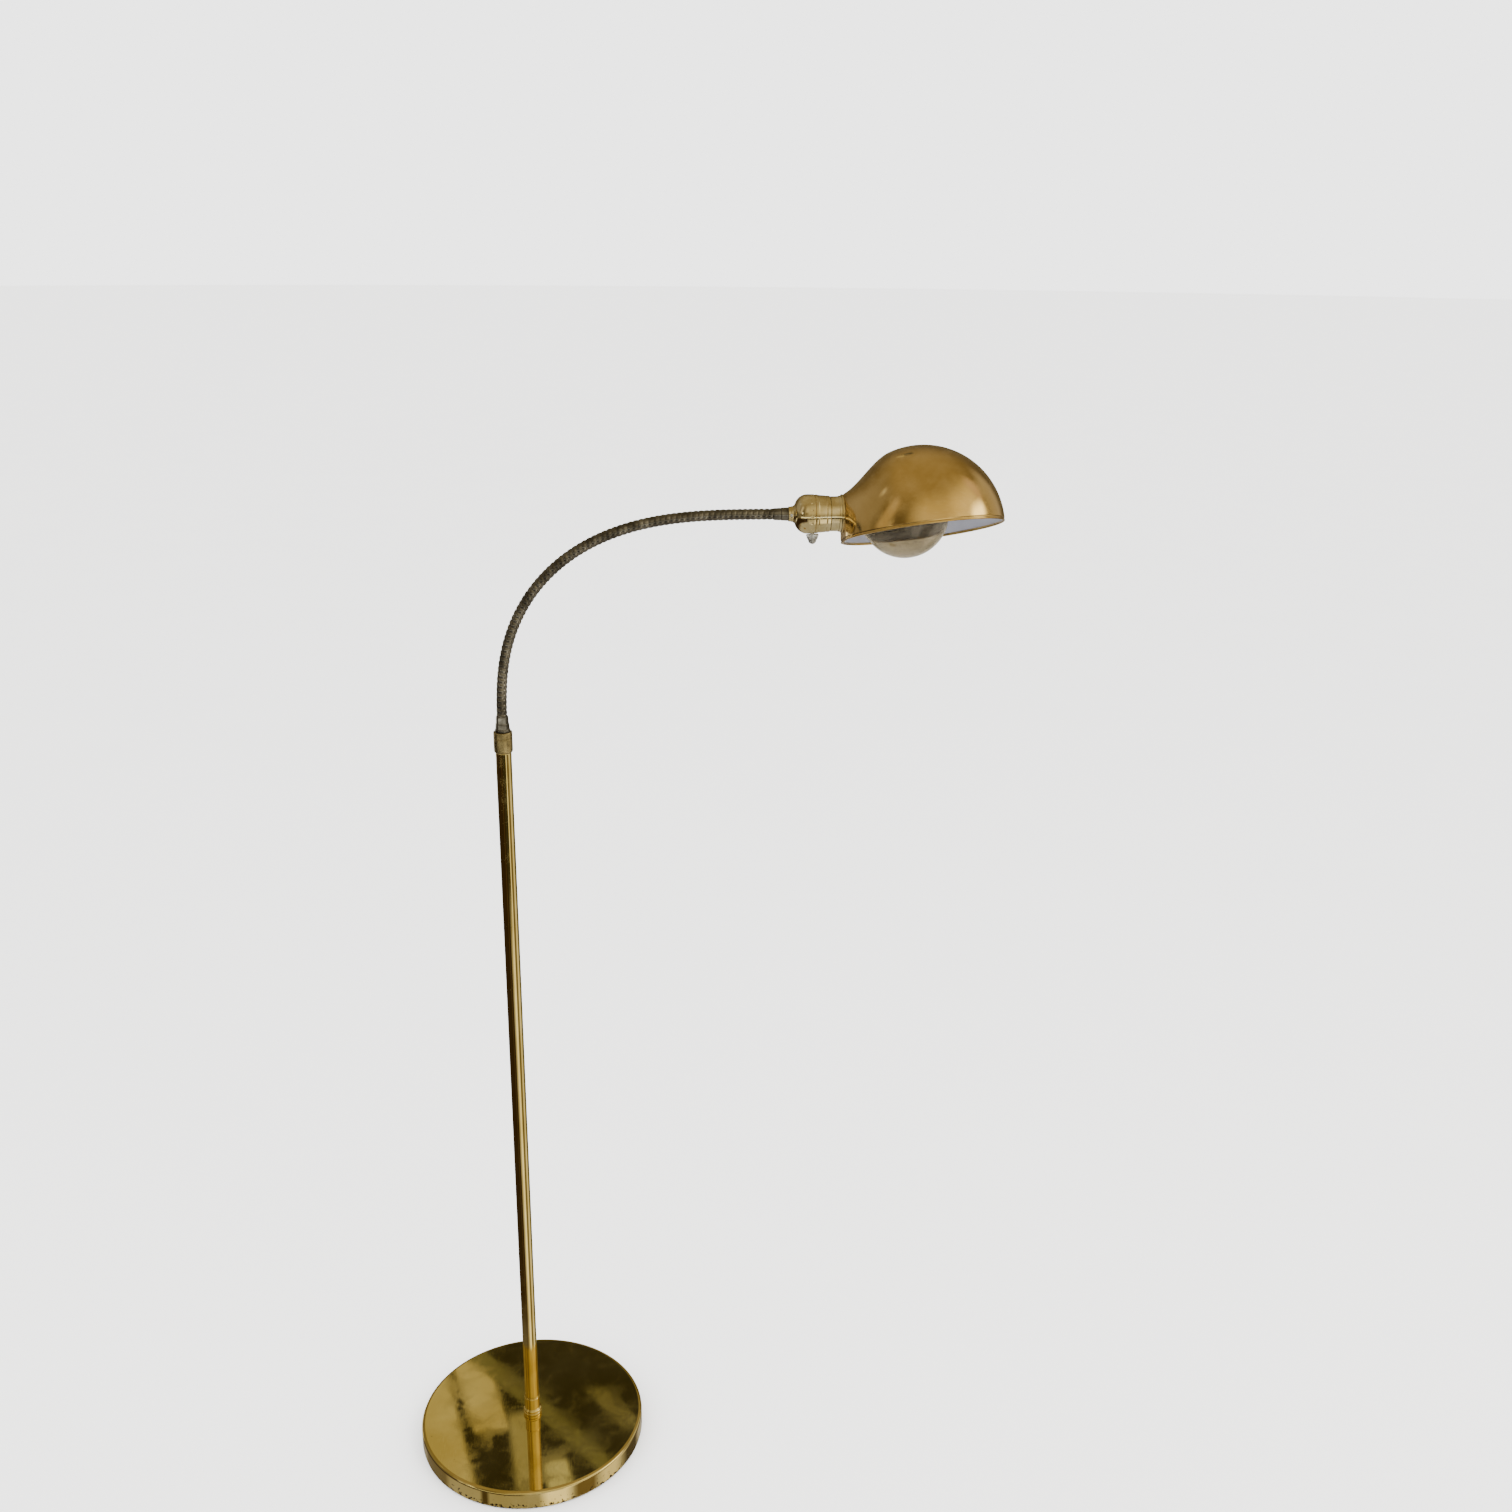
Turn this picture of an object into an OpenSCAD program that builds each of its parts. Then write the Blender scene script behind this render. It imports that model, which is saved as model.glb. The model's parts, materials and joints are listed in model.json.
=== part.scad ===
// Floor lamp with a weighted round base, a slim pole, a flexible gooseneck, a turn-key
// socket and a half-dome shade. Millimetres, +Z up, origin under the middle of the base.
// The neck bends in the XZ plane, towards +X.

/* [Base] */
// Diameter of the round base
base_d = 254; // [230:1:300]
// Height of the base's top above the floor
base_h = 22.8; // [21:0.2:30]
// Radius of the cover's rounded upper edge
base_edge_r = 3; // [2:0.5:5]
// Thickness of the brass cover
cover_t = 1; // [0.8:0.1:1.4]
// Thickness of the felt pad
felt_t = 2; // [1.5:0.5:3]

/* [Pole] */
// Outside diameter of the pole
pole_d = 15.9; // [15:0.1:17]
// Wall of the pole
pole_wall = 1.2; // [1:0.1:1.5]
// Height of the pole's upper end above the floor
pole_top = 833; // [600:1:1100]
// Height of the collar at the pole's foot
collar_h = 24; // [18:1:40]
// Length of the coupling at the pole's head
coupling_len = 22; // [20:1:30]
// Diameter of the coupling
coupling_d = 19; // [18:0.5:22]

/* [Neck] */
// Outside diameter of the flexible neck
neck_d = 10.8; // [10:0.1:12]
// Free length of the neck between its ferrules
neck_len = 390; // [330:5:450]
// Angle that the neck turns through, from the pole to the socket
neck_turn = 90; // [60:1:100]
// How slowly the bend builds up above the pole
bend_rise = 0.7; // [0.5:0.05:1]
// How slowly the bend fades towards the socket
bend_fade = 1.4; // [1:0.05:2]

/* [Socket] */
// Largest diameter of the socket's cap
cap_d = 38; // [37:0.2:40]
// Distance from the end of the neck to the back of the shade
socket_len = 68; // [66:1:72]
// Width of the switch key
key_w = 12.6; // [9:0.2:14]
// How far the switch key stands out of the socket
key_h = 9.8; // [9:0.2:14]

/* [Shade] */
// Radius of the shade's dome
dome_r = 80.4; // [76:0.2:90]
// Height of the dome's centre, measured from the socket's axis
dome_z = -14.5; // [-18:0.5:-12]
// How far the shade is turned about the socket's axis
shade_roll = 17; // [0:1:30]
// Height of the rim under the middle of the dome, measured from the socket's axis
rim_z = -18.8; // [-24:0.2:-17]
// Rise of the rim towards the front, for each unit of length
rim_slope = 0.11; // [0.05:0.01:0.15]
// Thickness of the shade
shade_t = 1; // [0.8:0.1:1.2]

/* [Bulb] */
// Diameter of the round bulb
bulb_d = 87; // [70:1:90]
// Distance from the back of the shade to the bulb's centre
bulb_x = 61; // [56:1:64]

/* [Hidden] */

$fn = 96;
eps = 0.01;
slip = 0.1;               // radial play between pieces that are screwed or pushed together
play = 0.3;               // gap between pieces that turn on each other

// Threaded lamp pipe, a common size for every joint along the pole
pipe_r = 4.9;
pipe_bore_r = 3.4;

// Base
weight_bottom = felt_t;
weight_top = base_h - cover_t;
weight_r = base_d / 2 - 3;
recess_r = 22;
recess_h = 9;
relief_in_r = 34;         // ring hollowed out of the weight's underside
relief_out_r = 104;
relief_h = 8;
channel_w = 10;
inlet_z = 9.5;
inlet_r = 3.5;
inlet_wall = 1.2;
flange_r = 7;
flange_t = 1.6;
washer_r = 14;
washer_t = 1.8;
nut_af = 19;
nut_h = 5.4;
felt_r = base_d / 2 - 6;

// Pole
pole_r = pole_d / 2;
pole_in_r = pole_r - pole_wall;
collar_r = pole_r + 0.8;
collar_foot_r = 10.4;
collar_foot_h = 7.4;
plug_len = 18;
pipe_top = base_h + 20;
coupling_stub = 12;
stub_r = pole_in_r - slip;
swivel_r = 5.1;           // bore of the coupling, in which the neck's foot turns

// Neck
ferrule_len = 15.7;       // lower ferrule, tapering from its foot to its head
ferrule_foot_r = 7.7;
ferrule_head_r = 6.1;
tip_len = 14.5;           // upper ferrule, widening from the neck to the socket
tip_neck_r = 5.7;
tip_head_r = 6.5;
tip_stub = 9;             // thread of the upper ferrule, inside the socket's cap
neck_start = pole_top + coupling_len + play + ferrule_len;
neck_r = neck_d / 2;
link_bore_r = 3.3;
spigot_r = link_bore_r - slip;
spigot_len = 8;
wire_r = 2.3;             // bore left for the wires
links = 12;               // number of places at which the neck turns
link_len = neck_len / links;
hinge_play = [1.3, 2.0];  // half gap at the bore and outside, where two lengths bend
seam_play = [0.5, 0.8];   // the same where two lengths stay in line with each other

// The bend at place i, counted from the pole, follows one smooth rule
function place(i) = (i - 0.5) / links;
function bend_share(i) = pow(place(i), bend_rise) * pow(1 - place(i), bend_fade);
share_sum = sum([for (i = [1 : links]) bend_share(i)]);
function sum(v, i = 0) = i == len(v) ? 0 : v[i] + sum(v, i + 1);
function bend(i) = neck_turn * bend_share(i) / share_sum;
function heading(i) = i == 0 ? 0 : heading(i - 1) + bend(i);
function along(angle, length) = [length * sin(angle), 0, length * cos(angle)];
function link_start(i) =
  i == 0 ? [0, 0, neck_start]
         : link_start(i - 1) + along(heading(i - 1), i == 1 ? link_len / 2 : link_len);
neck_end = link_start(links) + along(heading(links), link_len / 2);

// Socket, measured along its axis from the end of the neck
cap_t = 0.8;
cap_r = cap_d / 2;
cap_neck_r = 7.2;
cap_shoulder = 18.5;      // where the dome leaves the cap's neck
cap_round_pos = 33;       // where the dome's curve reaches its full width
cap_round_r = 12.4;
cap_end = 39.5;
set_screw_pos = 17.2;
set_screw_r = 1.3;
shell_start = 33;
shell_end = 55;
shell_r = 18.1;
shell_bead_r = 18.7;
shell_front_r = 17.2;
liner_t = 0.6;
body_r = 15.6;
body_start = 29;
body_end = 53;
well_start = body_start + 13;   // floor of the well that takes the bulb's base
terminal_y = 9.5;
screw_shell_r = 13.9;
screw_shell_t = 0.4;
key_pos = 38.6;
key_edge_t = 1.8;
key_mid_t = 5.4;
key_turn = 12;
shaft_r = 2;
shaft_hole_r = 2.3;
cap_key_slot_r = 4.4;
cam_room_r = 3.4;
holder_r = 16.9;
holder_t = 1.2;
holder_end = socket_len + 9;
shoulder_r = 18.8;
shoulder_t = 1.5;
collar_bore_r = holder_r + play;
collar_out_r = 18.1;
collar_len = 4.2;
ring_nut_r = 19.6;
ring_nut_t = 4.2;

// Bulb
bulb_r = bulb_d / 2;
glass_t = 0.8;
bulb_base_r = 13.1;
bulb_base_start = 46.4;
bulb_base_end = socket_len + 0.5;
bulb_neck_r = 14;
bulb_neck_end = socket_len + 12;
bulb_mid = socket_len + bulb_x;
bulb_flare = 133;         // angle at which the sphere passes into the neck, from the front

// Shade, in its own frame: X along the socket's axis from the shade's back, Z up
hole_r = 18.3;
mouth_w = 18.8;           // half width of the flat back
dome_x = sqrt(dome_r * dome_r - mouth_w * mouth_w);
throat_len = 45;          // length over which the back rises to the dome
throat_slope = 0.5;       // slope of the back's upper edge where it leaves the socket
eye = [dome_x, 0, -25];   // point inside, from which the skin is seen without folds
hole_dir = -eye / norm(eye);
side_dir = [0, 1, 0];
up_dir = [hole_dir.z, 0, -hole_dir.x];
skin_cols = 48;
skin_rows = 14;
reach = 2 * dome_r + 20;

// ---------------------------------------------------------------- placing

module at_link(i) {
  translate(link_start(i)) rotate([0, heading(i), 0]) children();
}

// The socket's frame: +Z along its axis from the end of the neck, -X upwards
module at_socket() {
  translate(neck_end) rotate([0, heading(links), 0]) children();
}

module at_shade() {
  at_socket() translate([0, 0, socket_len]) rotate([0, -90, 0])
    rotate([-shade_roll, 0, 0]) children();
}

// A turned ring or tube between two heights
module tube(r_out, r_in, from, to) {
  difference() {
    translate([0, 0, from]) cylinder(r = r_out, h = to - from);
    translate([0, 0, from - 1]) cylinder(r = r_in, h = to - from + 2);
  }
}

// ---------------------------------------------------------------- base

module base_felt() {
  color("darkolivegreen") cylinder(r = felt_r, h = felt_t);
}

module base_weight() {
  color("dimgray") difference() {
    rotate_extrude() polygon([
      [0, weight_bottom], [weight_r, weight_bottom], [weight_r, weight_top - 6],
      [weight_r - 4, weight_top], [0, weight_top]
    ]);
    translate([0, 0, -1]) cylinder(r = pipe_r + slip, h = base_h + 2);
    translate([0, 0, -1]) cylinder(r = recess_r, h = weight_bottom + recess_h + 1);
    tube(relief_out_r, relief_in_r, -1, weight_bottom + relief_h);
    // channel for the cord, from the middle to the back edge
    translate([-channel_w / 2, 0, -1]) cube([channel_w, base_d, inlet_z + 7]);
  }
}

module base_cover() {
  r_out = base_d / 2;
  skirt_bottom = felt_t - 0.5;
  color("goldenrod") difference() {
    rotate_extrude() union() {
      translate([0, skirt_bottom]) square([r_out, base_h - base_edge_r - skirt_bottom]);
      translate([0, base_h - base_edge_r - eps]) square([r_out - base_edge_r, base_edge_r + eps]);
      translate([r_out - base_edge_r, base_h - base_edge_r]) circle(r = base_edge_r);
    }
    rotate_extrude() union() {
      translate([0, skirt_bottom - 1])
        square([r_out - cover_t, base_h - base_edge_r - skirt_bottom + 1]);
      square([r_out - base_edge_r, base_h - cover_t]);
      translate([r_out - base_edge_r, base_h - base_edge_r]) circle(r = base_edge_r - cover_t);
    }
    cylinder(r = pipe_r + slip, h = base_h + 1);
    translate([0, base_d / 2 - 10, inlet_z]) rotate([-90, 0, 0])
      cylinder(r = inlet_r + inlet_wall + slip, h = 20);
  }
}

// Bushing in the back of the skirt, through which the mains lead comes out
module cord_bushing() {
  r_tube = inlet_r + inlet_wall;
  y_face = base_d / 2 + 0.05;
  color("saddlebrown") translate([0, y_face, inlet_z]) rotate([-90, 0, 0]) difference() {
    union() {
      translate([0, 0, -2 * flange_t - cover_t]) cylinder(r = r_tube, h = 3 * flange_t + cover_t);
      cylinder(r = flange_r, h = flange_t - 0.4);
      cylinder(r = flange_r - 1, h = flange_t);
    }
    translate([0, 0, -10]) cylinder(r = inlet_r, h = 20);
  }
}

module base_nipple() {
  color("silver") tube(pipe_r, pipe_bore_r, weight_bottom + 1, pipe_top);
}

module base_washer() {
  top = weight_bottom + recess_h;
  color("silver") tube(washer_r, pipe_r + slip, top - washer_t, top);
}

module base_nut() {
  top = weight_bottom + recess_h - washer_t;
  color("silver") difference() {
    translate([0, 0, top - nut_h]) cylinder(r = nut_af / 2 / cos(30), h = nut_h, $fn = 6);
    cylinder(r = pipe_r + slip, h = base_h);
  }
}

// ---------------------------------------------------------------- pole

module pole_collar() {
  top = base_h + collar_h;
  foot = base_h + collar_foot_h;
  r_in = pole_r + slip;
  color("goldenrod") rotate_extrude() polygon([
    [r_in, base_h], [collar_foot_r - 0.6, base_h], [collar_foot_r, base_h + 0.6],
    [collar_foot_r, foot - 1.2], [collar_foot_r - 1.2, foot], [collar_r, foot + 0.4],
    [collar_r, top - 0.4], [collar_r - 0.4, top], [r_in, top]
  ]);
}

// Threaded bush brazed into the pole's foot
module pole_plug() {
  color("silver") tube(pole_in_r - slip, pipe_r + slip, base_h, base_h + plug_len);
}

module pole_tube() {
  color("goldenrod") tube(pole_r, pole_in_r, base_h, pole_top);
}

module neck_coupling() {
  top = pole_top + coupling_len;
  r = coupling_d / 2;
  color("olive") rotate_extrude() polygon([
    [swivel_r, pole_top - coupling_stub], [stub_r, pole_top - coupling_stub],
    [stub_r, pole_top], [r - 1.2, pole_top], [r, pole_top + 1.6],
    [r, top - 1], [r - 1, top], [swivel_r, top]
  ]);
}

// ---------------------------------------------------------------- neck

module neck_ferrule_lower() {
  foot = pole_top + coupling_len + play;
  stub = foot - coupling_stub;
  color("slategray") rotate_extrude() polygon([
    [wire_r, stub], [pipe_r, stub], [pipe_r, foot], [ferrule_foot_r, foot],
    [ferrule_foot_r, foot + 1], [ferrule_head_r, neck_start], [spigot_r, neck_start],
    [spigot_r, neck_start + spigot_len], [wire_r, neck_start + spigot_len]
  ]);
}

// Half gap at place i, as [bore, outside]: the neck bends at every odd place
function end_play(i) =
  i == 0 || i == links + 1 ? [0, 0] : i % 2 == 1 ? hinge_play : seam_play;

// One length of the neck, bevelled at its ends
module neck_link(i) {
  length = i == 0 || i == links ? link_len / 2 : link_len;
  foot = end_play(i);
  head = end_play(i + 1);
  color("gray") at_link(i) rotate_extrude() polygon([
    [link_bore_r, foot[0]], [neck_r, foot[1]],
    [neck_r, length - head[1]], [link_bore_r, length - head[0]]
  ]);
}

module neck_ferrule_upper() {
  color("slategray") at_socket() rotate_extrude() polygon([
    [wire_r, -spigot_len], [spigot_r, -spigot_len], [spigot_r, 0], [tip_neck_r, 0],
    [tip_head_r, tip_len], [pipe_r, tip_len], [pipe_r, tip_len + tip_stub],
    [wire_r, tip_len + tip_stub]
  ]);
}

// ---------------------------------------------------------------- socket

// Outer and inner outline of the domed cap, as radius and distance from the neck
module cap_outline(inset) {
  r = cap_round_r - inset;
  polygon(concat(
    [[0, cap_shoulder], [cap_neck_r + 0.6 - inset, cap_shoulder + inset]],
    [for (a = [72 : -12 : 0])
      [cap_r - cap_round_r + r * cos(a), cap_round_pos - r * sin(a)]],
    [[cap_r - inset, cap_end], [0, cap_end]]
  ));
}

module socket_cap() {
  color("darkkhaki") at_socket() difference() {
    rotate_extrude() union() {
      cap_outline(0);
      polygon([
        [0, tip_len], [cap_neck_r, tip_len], [cap_neck_r, 17], [cap_neck_r + 0.8, 19],
        [cap_neck_r + 1, 21], [0, 21]
      ]);
    }
    rotate_extrude() intersection() {
      cap_outline(cap_t);
      translate([0, 22.5]) square([cap_d, socket_len]);
    }
    translate([0, 0, tip_len - 1]) cylinder(r = pipe_r + slip, h = tip_stub + 3);
    translate([0, 0, cap_end - 1]) cylinder(r = cap_r - cap_t, h = 2);
    translate([0, 0, key_pos]) rotate([0, 90, 0]) cylinder(r = cap_key_slot_r, h = cap_d);
    translate([0, 0, set_screw_pos]) rotate([90, 0, 0])
      cylinder(r = set_screw_r + slip, h = cap_neck_r + 3);
  }
}

// Grub screw that locks the cap on the neck's thread
module cap_set_screw() {
  color("silver") at_socket() translate([0, 0, set_screw_pos]) rotate([90, 0, 0]) difference() {
    translate([0, 0, pipe_r + 0.15]) cylinder(r = set_screw_r, h = 3);
    translate([-0.25, -2, pipe_r + 2.6]) cube([0.5, 4, 2]);
  }
}

module socket_shell() {
  color("khaki") at_socket() difference() {
    rotate_extrude() polygon([
      [shell_r - cap_t, shell_start], [shell_r, shell_start], [shell_r, cap_end + 0.3],
      [shell_bead_r, cap_end + 0.9], [shell_bead_r, cap_end + 3], [shell_r, cap_end + 10],
      [shell_front_r + 0.3, shell_end - 2], [shell_front_r, shell_end],
      [holder_r - holder_t - slip, shell_end], [holder_r - holder_t - slip, shell_end - 1],
      [shell_front_r - cap_t, shell_end - 1.4], [shell_r - cap_t, cap_end + 9]
    ]);
    translate([0, 0, key_pos]) rotate([0, 90, 0]) cylinder(r = shaft_hole_r, h = cap_d);
  }
}

// Fibre sleeve between the shell and the socket's body
module socket_liner() {
  r = shell_r - cap_t - slip;
  color("peru") at_socket() difference() {
    tube(r, r - liner_t, shell_start + 0.5, cap_end + 5);
    translate([0, 0, key_pos]) rotate([0, 90, 0]) cylinder(r = shaft_hole_r, h = cap_d);
  }
}

// Porcelain body that carries the contacts and the switch
module socket_body() {
  color("ivory") at_socket() difference() {
    translate([0, 0, body_start]) cylinder(r = body_r, h = body_end - body_start);
    translate([0, 0, well_start]) cylinder(r = screw_shell_r + slip, h = socket_len);
    translate([0, 0, key_pos]) rotate([0, 90, 0]) cylinder(r = shaft_hole_r, h = cap_d);
    translate([0, 0, key_pos]) cylinder(r = cam_room_r, h = 6, center = true);
    for (side = [-1, 1])
      translate([0, side * terminal_y, body_start - 1]) cylinder(r = 1.6, h = 6);
  }
}

module terminal_screws() {
  color("goldenrod") at_socket() for (side = [-1, 1]) translate([0, side * terminal_y, 0])
    difference() {
      union() {
        translate([0, 0, body_start - 2]) cylinder(r = 3, h = 1.9);
        translate([0, 0, body_start - 1]) cylinder(r = 1.5, h = 5);
      }
      translate([-3.5, -0.35, body_start - 2.5]) cube([7, 0.7, 1.3]);
    }
}

// Threaded shell that the bulb screws into, drawn without its thread
module screw_shell() {
  start = well_start + 0.2;
  color("khaki") at_socket() difference() {
    translate([0, 0, start]) cylinder(r = screw_shell_r, h = socket_len - start);
    translate([0, 0, start + screw_shell_t])
      cylinder(r = screw_shell_r - screw_shell_t, h = socket_len);
    translate([0, 0, start - 1]) cylinder(r = 5, h = 3);
  }
}

// Sprung brass button that the bulb's tip presses on
module centre_contact() {
  height = bulb_base_start - 0.5 - well_start;
  color("khaki") at_socket() difference() {
    translate([0, 0, well_start]) cylinder(r = 3.2, h = height);
    translate([0, 0, well_start - 1]) cylinder(r = 2.6, h = height);
  }
}

// Shaft of the switch, from the cam's room in the body to inside the key
module switch_shaft() {
  color("silver") at_socket() translate([0, 0, key_pos]) rotate([0, 90, 0])
    translate([0, 0, -2.6]) cylinder(r = shaft_r, h = cap_r + 4 + 2.6);
}

// Thumb key: thick in the middle, thin at the edges, tapering to a round end
module switch_key() {
  lift = cap_r + 0.7;
  end_r = 3.6;
  half_w = key_w / 2;
  color("lightslategray") at_socket() translate([0, 0, key_pos]) rotate([0, 90, 0])
    rotate([0, 0, 90 + key_turn]) difference() {
      intersection() {
        translate([0, key_mid_t, lift]) rotate([90, 0, 0])
          linear_extrude(height = 2 * key_mid_t) union() {
            polygon([
              [-half_w + 1, 0], [half_w - 1, 0], [half_w, 1], [half_w, 3],
              [end_r, key_h - end_r], [-end_r, key_h - end_r], [-half_w, 3], [-half_w, 1]
            ]);
            translate([0, key_h - end_r]) circle(r = end_r);
          }
        translate([0, 0, lift - 1]) linear_extrude(height = key_h + 2) polygon([
          [-half_w - 1, -key_edge_t / 2], [0, -key_mid_t / 2], [half_w + 1, -key_edge_t / 2],
          [half_w + 1, key_edge_t / 2], [0, key_mid_t / 2], [-half_w - 1, key_edge_t / 2]
        ]);
      }
      translate([0, 0, lift - 1]) cylinder(r = shaft_r + 0.05, h = 1 + 3.4);
    }
}

// Ring screwed on the socket, with the shoulder that the shade bears on
module shade_holder() {
  bore = holder_r - holder_t;
  shoulder = socket_len - 0.5 - shoulder_t;
  color("khaki") at_socket() rotate_extrude() polygon([
    [bore, shell_end + 0.3], [holder_r, shell_end + 0.3], [holder_r, shoulder],
    [shoulder_r - 0.5, shoulder], [shoulder_r, shoulder + 0.5],
    [shoulder_r, shoulder + shoulder_t], [holder_r, shoulder + shoulder_t],
    [holder_r, holder_end], [bore, holder_end]
  ]);
}

// Ring nut that clamps the shade from inside
module shade_nut() {
  start = socket_len + collar_len + 2 * play;
  color("khaki") at_socket() tube(ring_nut_r, holder_r + slip, start, start + ring_nut_t);
}

// ---------------------------------------------------------------- shade

// Bush brazed into the shade's hole, which turns on the holder
module shade_collar() {
  color("darkgoldenrod") at_socket()
    tube(collar_out_r, collar_bore_r, socket_len, socket_len + collar_len);
}

// Half width of the shade at x, for its skin set in by an inset
function half_width(x, inset) = sqrt(max(0, pow(dome_r - inset, 2) - pow(x - dome_x, 2)));
function dome_top(x, inset) = dome_z + half_width(x, inset);
function dome_rise(x, inset) = (dome_x - x) / half_width(x, inset);
// Upper edge of the shade: a cubic from the socket to the dome, then the dome itself
function throat_top(u, inset) =
  (2 * u * u * u - 3 * u * u + 1) * (mouth_w - inset * norm([1, throat_slope]))
  + (u * u * u - 2 * u * u + u) * throat_len * throat_slope
  + (3 * u * u - 2 * u * u * u) * dome_top(throat_len, inset)
  + (u * u * u - u * u) * throat_len * dome_rise(throat_len, inset);
function shade_top(x, inset) =
  x < throat_len ? throat_top(x / throat_len, inset) : dome_top(x, inset);
function arch_z(x, inset) = shade_top(x, inset) - half_width(x, inset);

// Positive outside the skin, negative inside: an arch with straight sides, cut by the back
function side_gap(p, inset) =
  let (arch = arch_z(p.x, inset))
  (p.z > arch ? norm([p.y, p.z - arch]) : abs(p.y)) - half_width(p.x, inset);
function skin_gap(p, inset) = max(side_gap(p, inset), inset - p.x);

// Point of the skin in a direction from the eye, found by halving
function skin_at(dir, inset, lo = 0, hi = reach, n = 24) =
  n == 0 ? eye + dir * (lo + hi) / 2
         : skin_gap(eye + dir * (lo + hi) / 2, inset) > 0
           ? skin_at(dir, inset, lo, (lo + hi) / 2, n - 1)
           : skin_at(dir, inset, (lo + hi) / 2, hi, n - 1);
function look(turn, tilt) =
  cos(tilt) * hole_dir + sin(tilt) * (cos(turn) * up_dir + sin(turn) * side_dir);
function skin_point(turn, tilt, inset) = skin_at(look(turn, tilt), inset);
// Tilt at which the skin leaves the hole, and the one at which it meets the rim
function hole_tilt(turn, inset, lo = 1, hi = 40, n = 20) =
  n == 0 ? lo
         : norm([skin_point(turn, (lo + hi) / 2, inset).y,
                 skin_point(turn, (lo + hi) / 2, inset).z]) > hole_r
           ? hole_tilt(turn, inset, lo, (lo + hi) / 2, n - 1)
           : hole_tilt(turn, inset, (lo + hi) / 2, hi, n - 1);
function over_rim(p) = p.z - rim_z - rim_slope * (p.x - dome_x);
function rim_tilt(turn, inset, lo = 12, hi = 179, n = 20) =
  n == 0 ? lo
         : over_rim(skin_point(turn, (lo + hi) / 2, inset)) < 0
           ? rim_tilt(turn, inset, lo, (lo + hi) / 2, n - 1)
           : rim_tilt(turn, inset, (lo + hi) / 2, hi, n - 1);

function skin_ring(turn, inset) =
  let (from = hole_tilt(turn, inset), to = rim_tilt(turn, inset))
  [for (row = [0 : skin_rows]) skin_point(turn, from + (to - from) * row / skin_rows, inset)];
function skin_points(inset) =
  [for (col = [0 : skin_cols - 1]) each skin_ring(360 * col / skin_cols, inset)];

// Two triangles for a four-cornered patch
function patch(a, b, c, d) = [[a, b, c], [a, c, d]];

module shade() {
  rows = skin_rows + 1;
  inner = rows * skin_cols;
  color("goldenrod") at_shade() polyhedron(
    points = concat(skin_points(0), skin_points(shade_t)),
    faces = [
      for (col = [0 : skin_cols - 1])
        let (a = col * rows, b = (col + 1) % skin_cols * rows)
        each concat(
          [for (row = [0 : skin_rows - 1]) each concat(
            patch(a + row, b + row, b + row + 1, a + row + 1),
            patch(inner + a + row + 1, inner + b + row + 1, inner + b + row, inner + a + row)
          )],
          patch(a + skin_rows, b + skin_rows, inner + b + skin_rows, inner + a + skin_rows),
          patch(a, inner + a, inner + b, b)
        )
    ]
  );
}

// ---------------------------------------------------------------- bulb

// Outline of the glass: neck, flare and sphere, as radius and distance from the neck's end
function bulb_outline(inset) = concat(
  [[bulb_base_r - inset - 0.4, bulb_base_end - 6], [bulb_base_r - inset - 0.4, bulb_base_end],
   [bulb_neck_r - inset, bulb_base_end + 2], [bulb_neck_r - inset, bulb_neck_end]],
  [for (a = [bulb_flare : -6 : 2])
    [(bulb_r - inset) * sin(a), bulb_mid + (bulb_r - inset) * cos(a)]]
);

module bulb_glass() {
  color("lightgray", 0.35) at_socket() rotate_extrude() polygon(concat(
    bulb_outline(0), [[0, bulb_mid + bulb_r], [0, bulb_mid + bulb_r - glass_t]],
    [for (p = [len(bulb_outline(0)) - 1 : -1 : 0]) bulb_outline(glass_t)[p]]
  ));
}

module bulb_cap() {
  r = bulb_base_r;
  color("silver") at_socket() rotate_extrude() polygon([
    [3.6, bulb_base_start + 0.6], [6, bulb_base_start + 0.4], [r, bulb_base_start + 5],
    [r, bulb_base_end - 0.2], [r - 0.3, bulb_base_end - 0.2],
    [r - 0.3, bulb_base_start + 5.4], [6, bulb_base_start + 1], [3.6, bulb_base_start + 1.2]
  ]);
}

// Solder tip and the dark glass that insulates it
module bulb_contact() {
  color("dimgray") at_socket() rotate_extrude() polygon([
    [0, bulb_base_start - 0.4], [2.2, bulb_base_start - 0.4], [3.4, bulb_base_start + 0.5],
    [3.4, bulb_base_start + 2.4], [0, bulb_base_start + 2.4]
  ]);
}

// Glass stem that carries the filament
module bulb_stem() {
  color("lightgray", 0.5) at_socket() rotate_extrude() polygon([
    [0, bulb_base_end - 5], [10.6, bulb_base_end - 5], [10.6, bulb_base_end - 4],
    [4, bulb_base_end + 14], [3, bulb_mid - 20], [1.6, bulb_mid - 6], [1.6, bulb_mid + 14],
    [0, bulb_mid + 14]
  ]);
}

// Filament strung in a cage of straight wires round the stem
module bulb_filament() {
  strands = 8;
  cage_r = 12;
  cage_len = 32;
  wire = 0.35;
  ring_t = 0.8;
  color("orange") at_socket() translate([0, 0, bulb_mid - cage_len / 2]) {
    for (i = [0 : strands - 1]) rotate([0, 0, i * 360 / strands])
      translate([cage_r, 0, ring_t / 2]) cylinder(r = wire, h = cage_len - ring_t);
    for (end = [0, cage_len - ring_t])
      tube(cage_r + wire + 0.2, cage_r - wire - 0.2, end, end + ring_t);
  }
}

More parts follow.
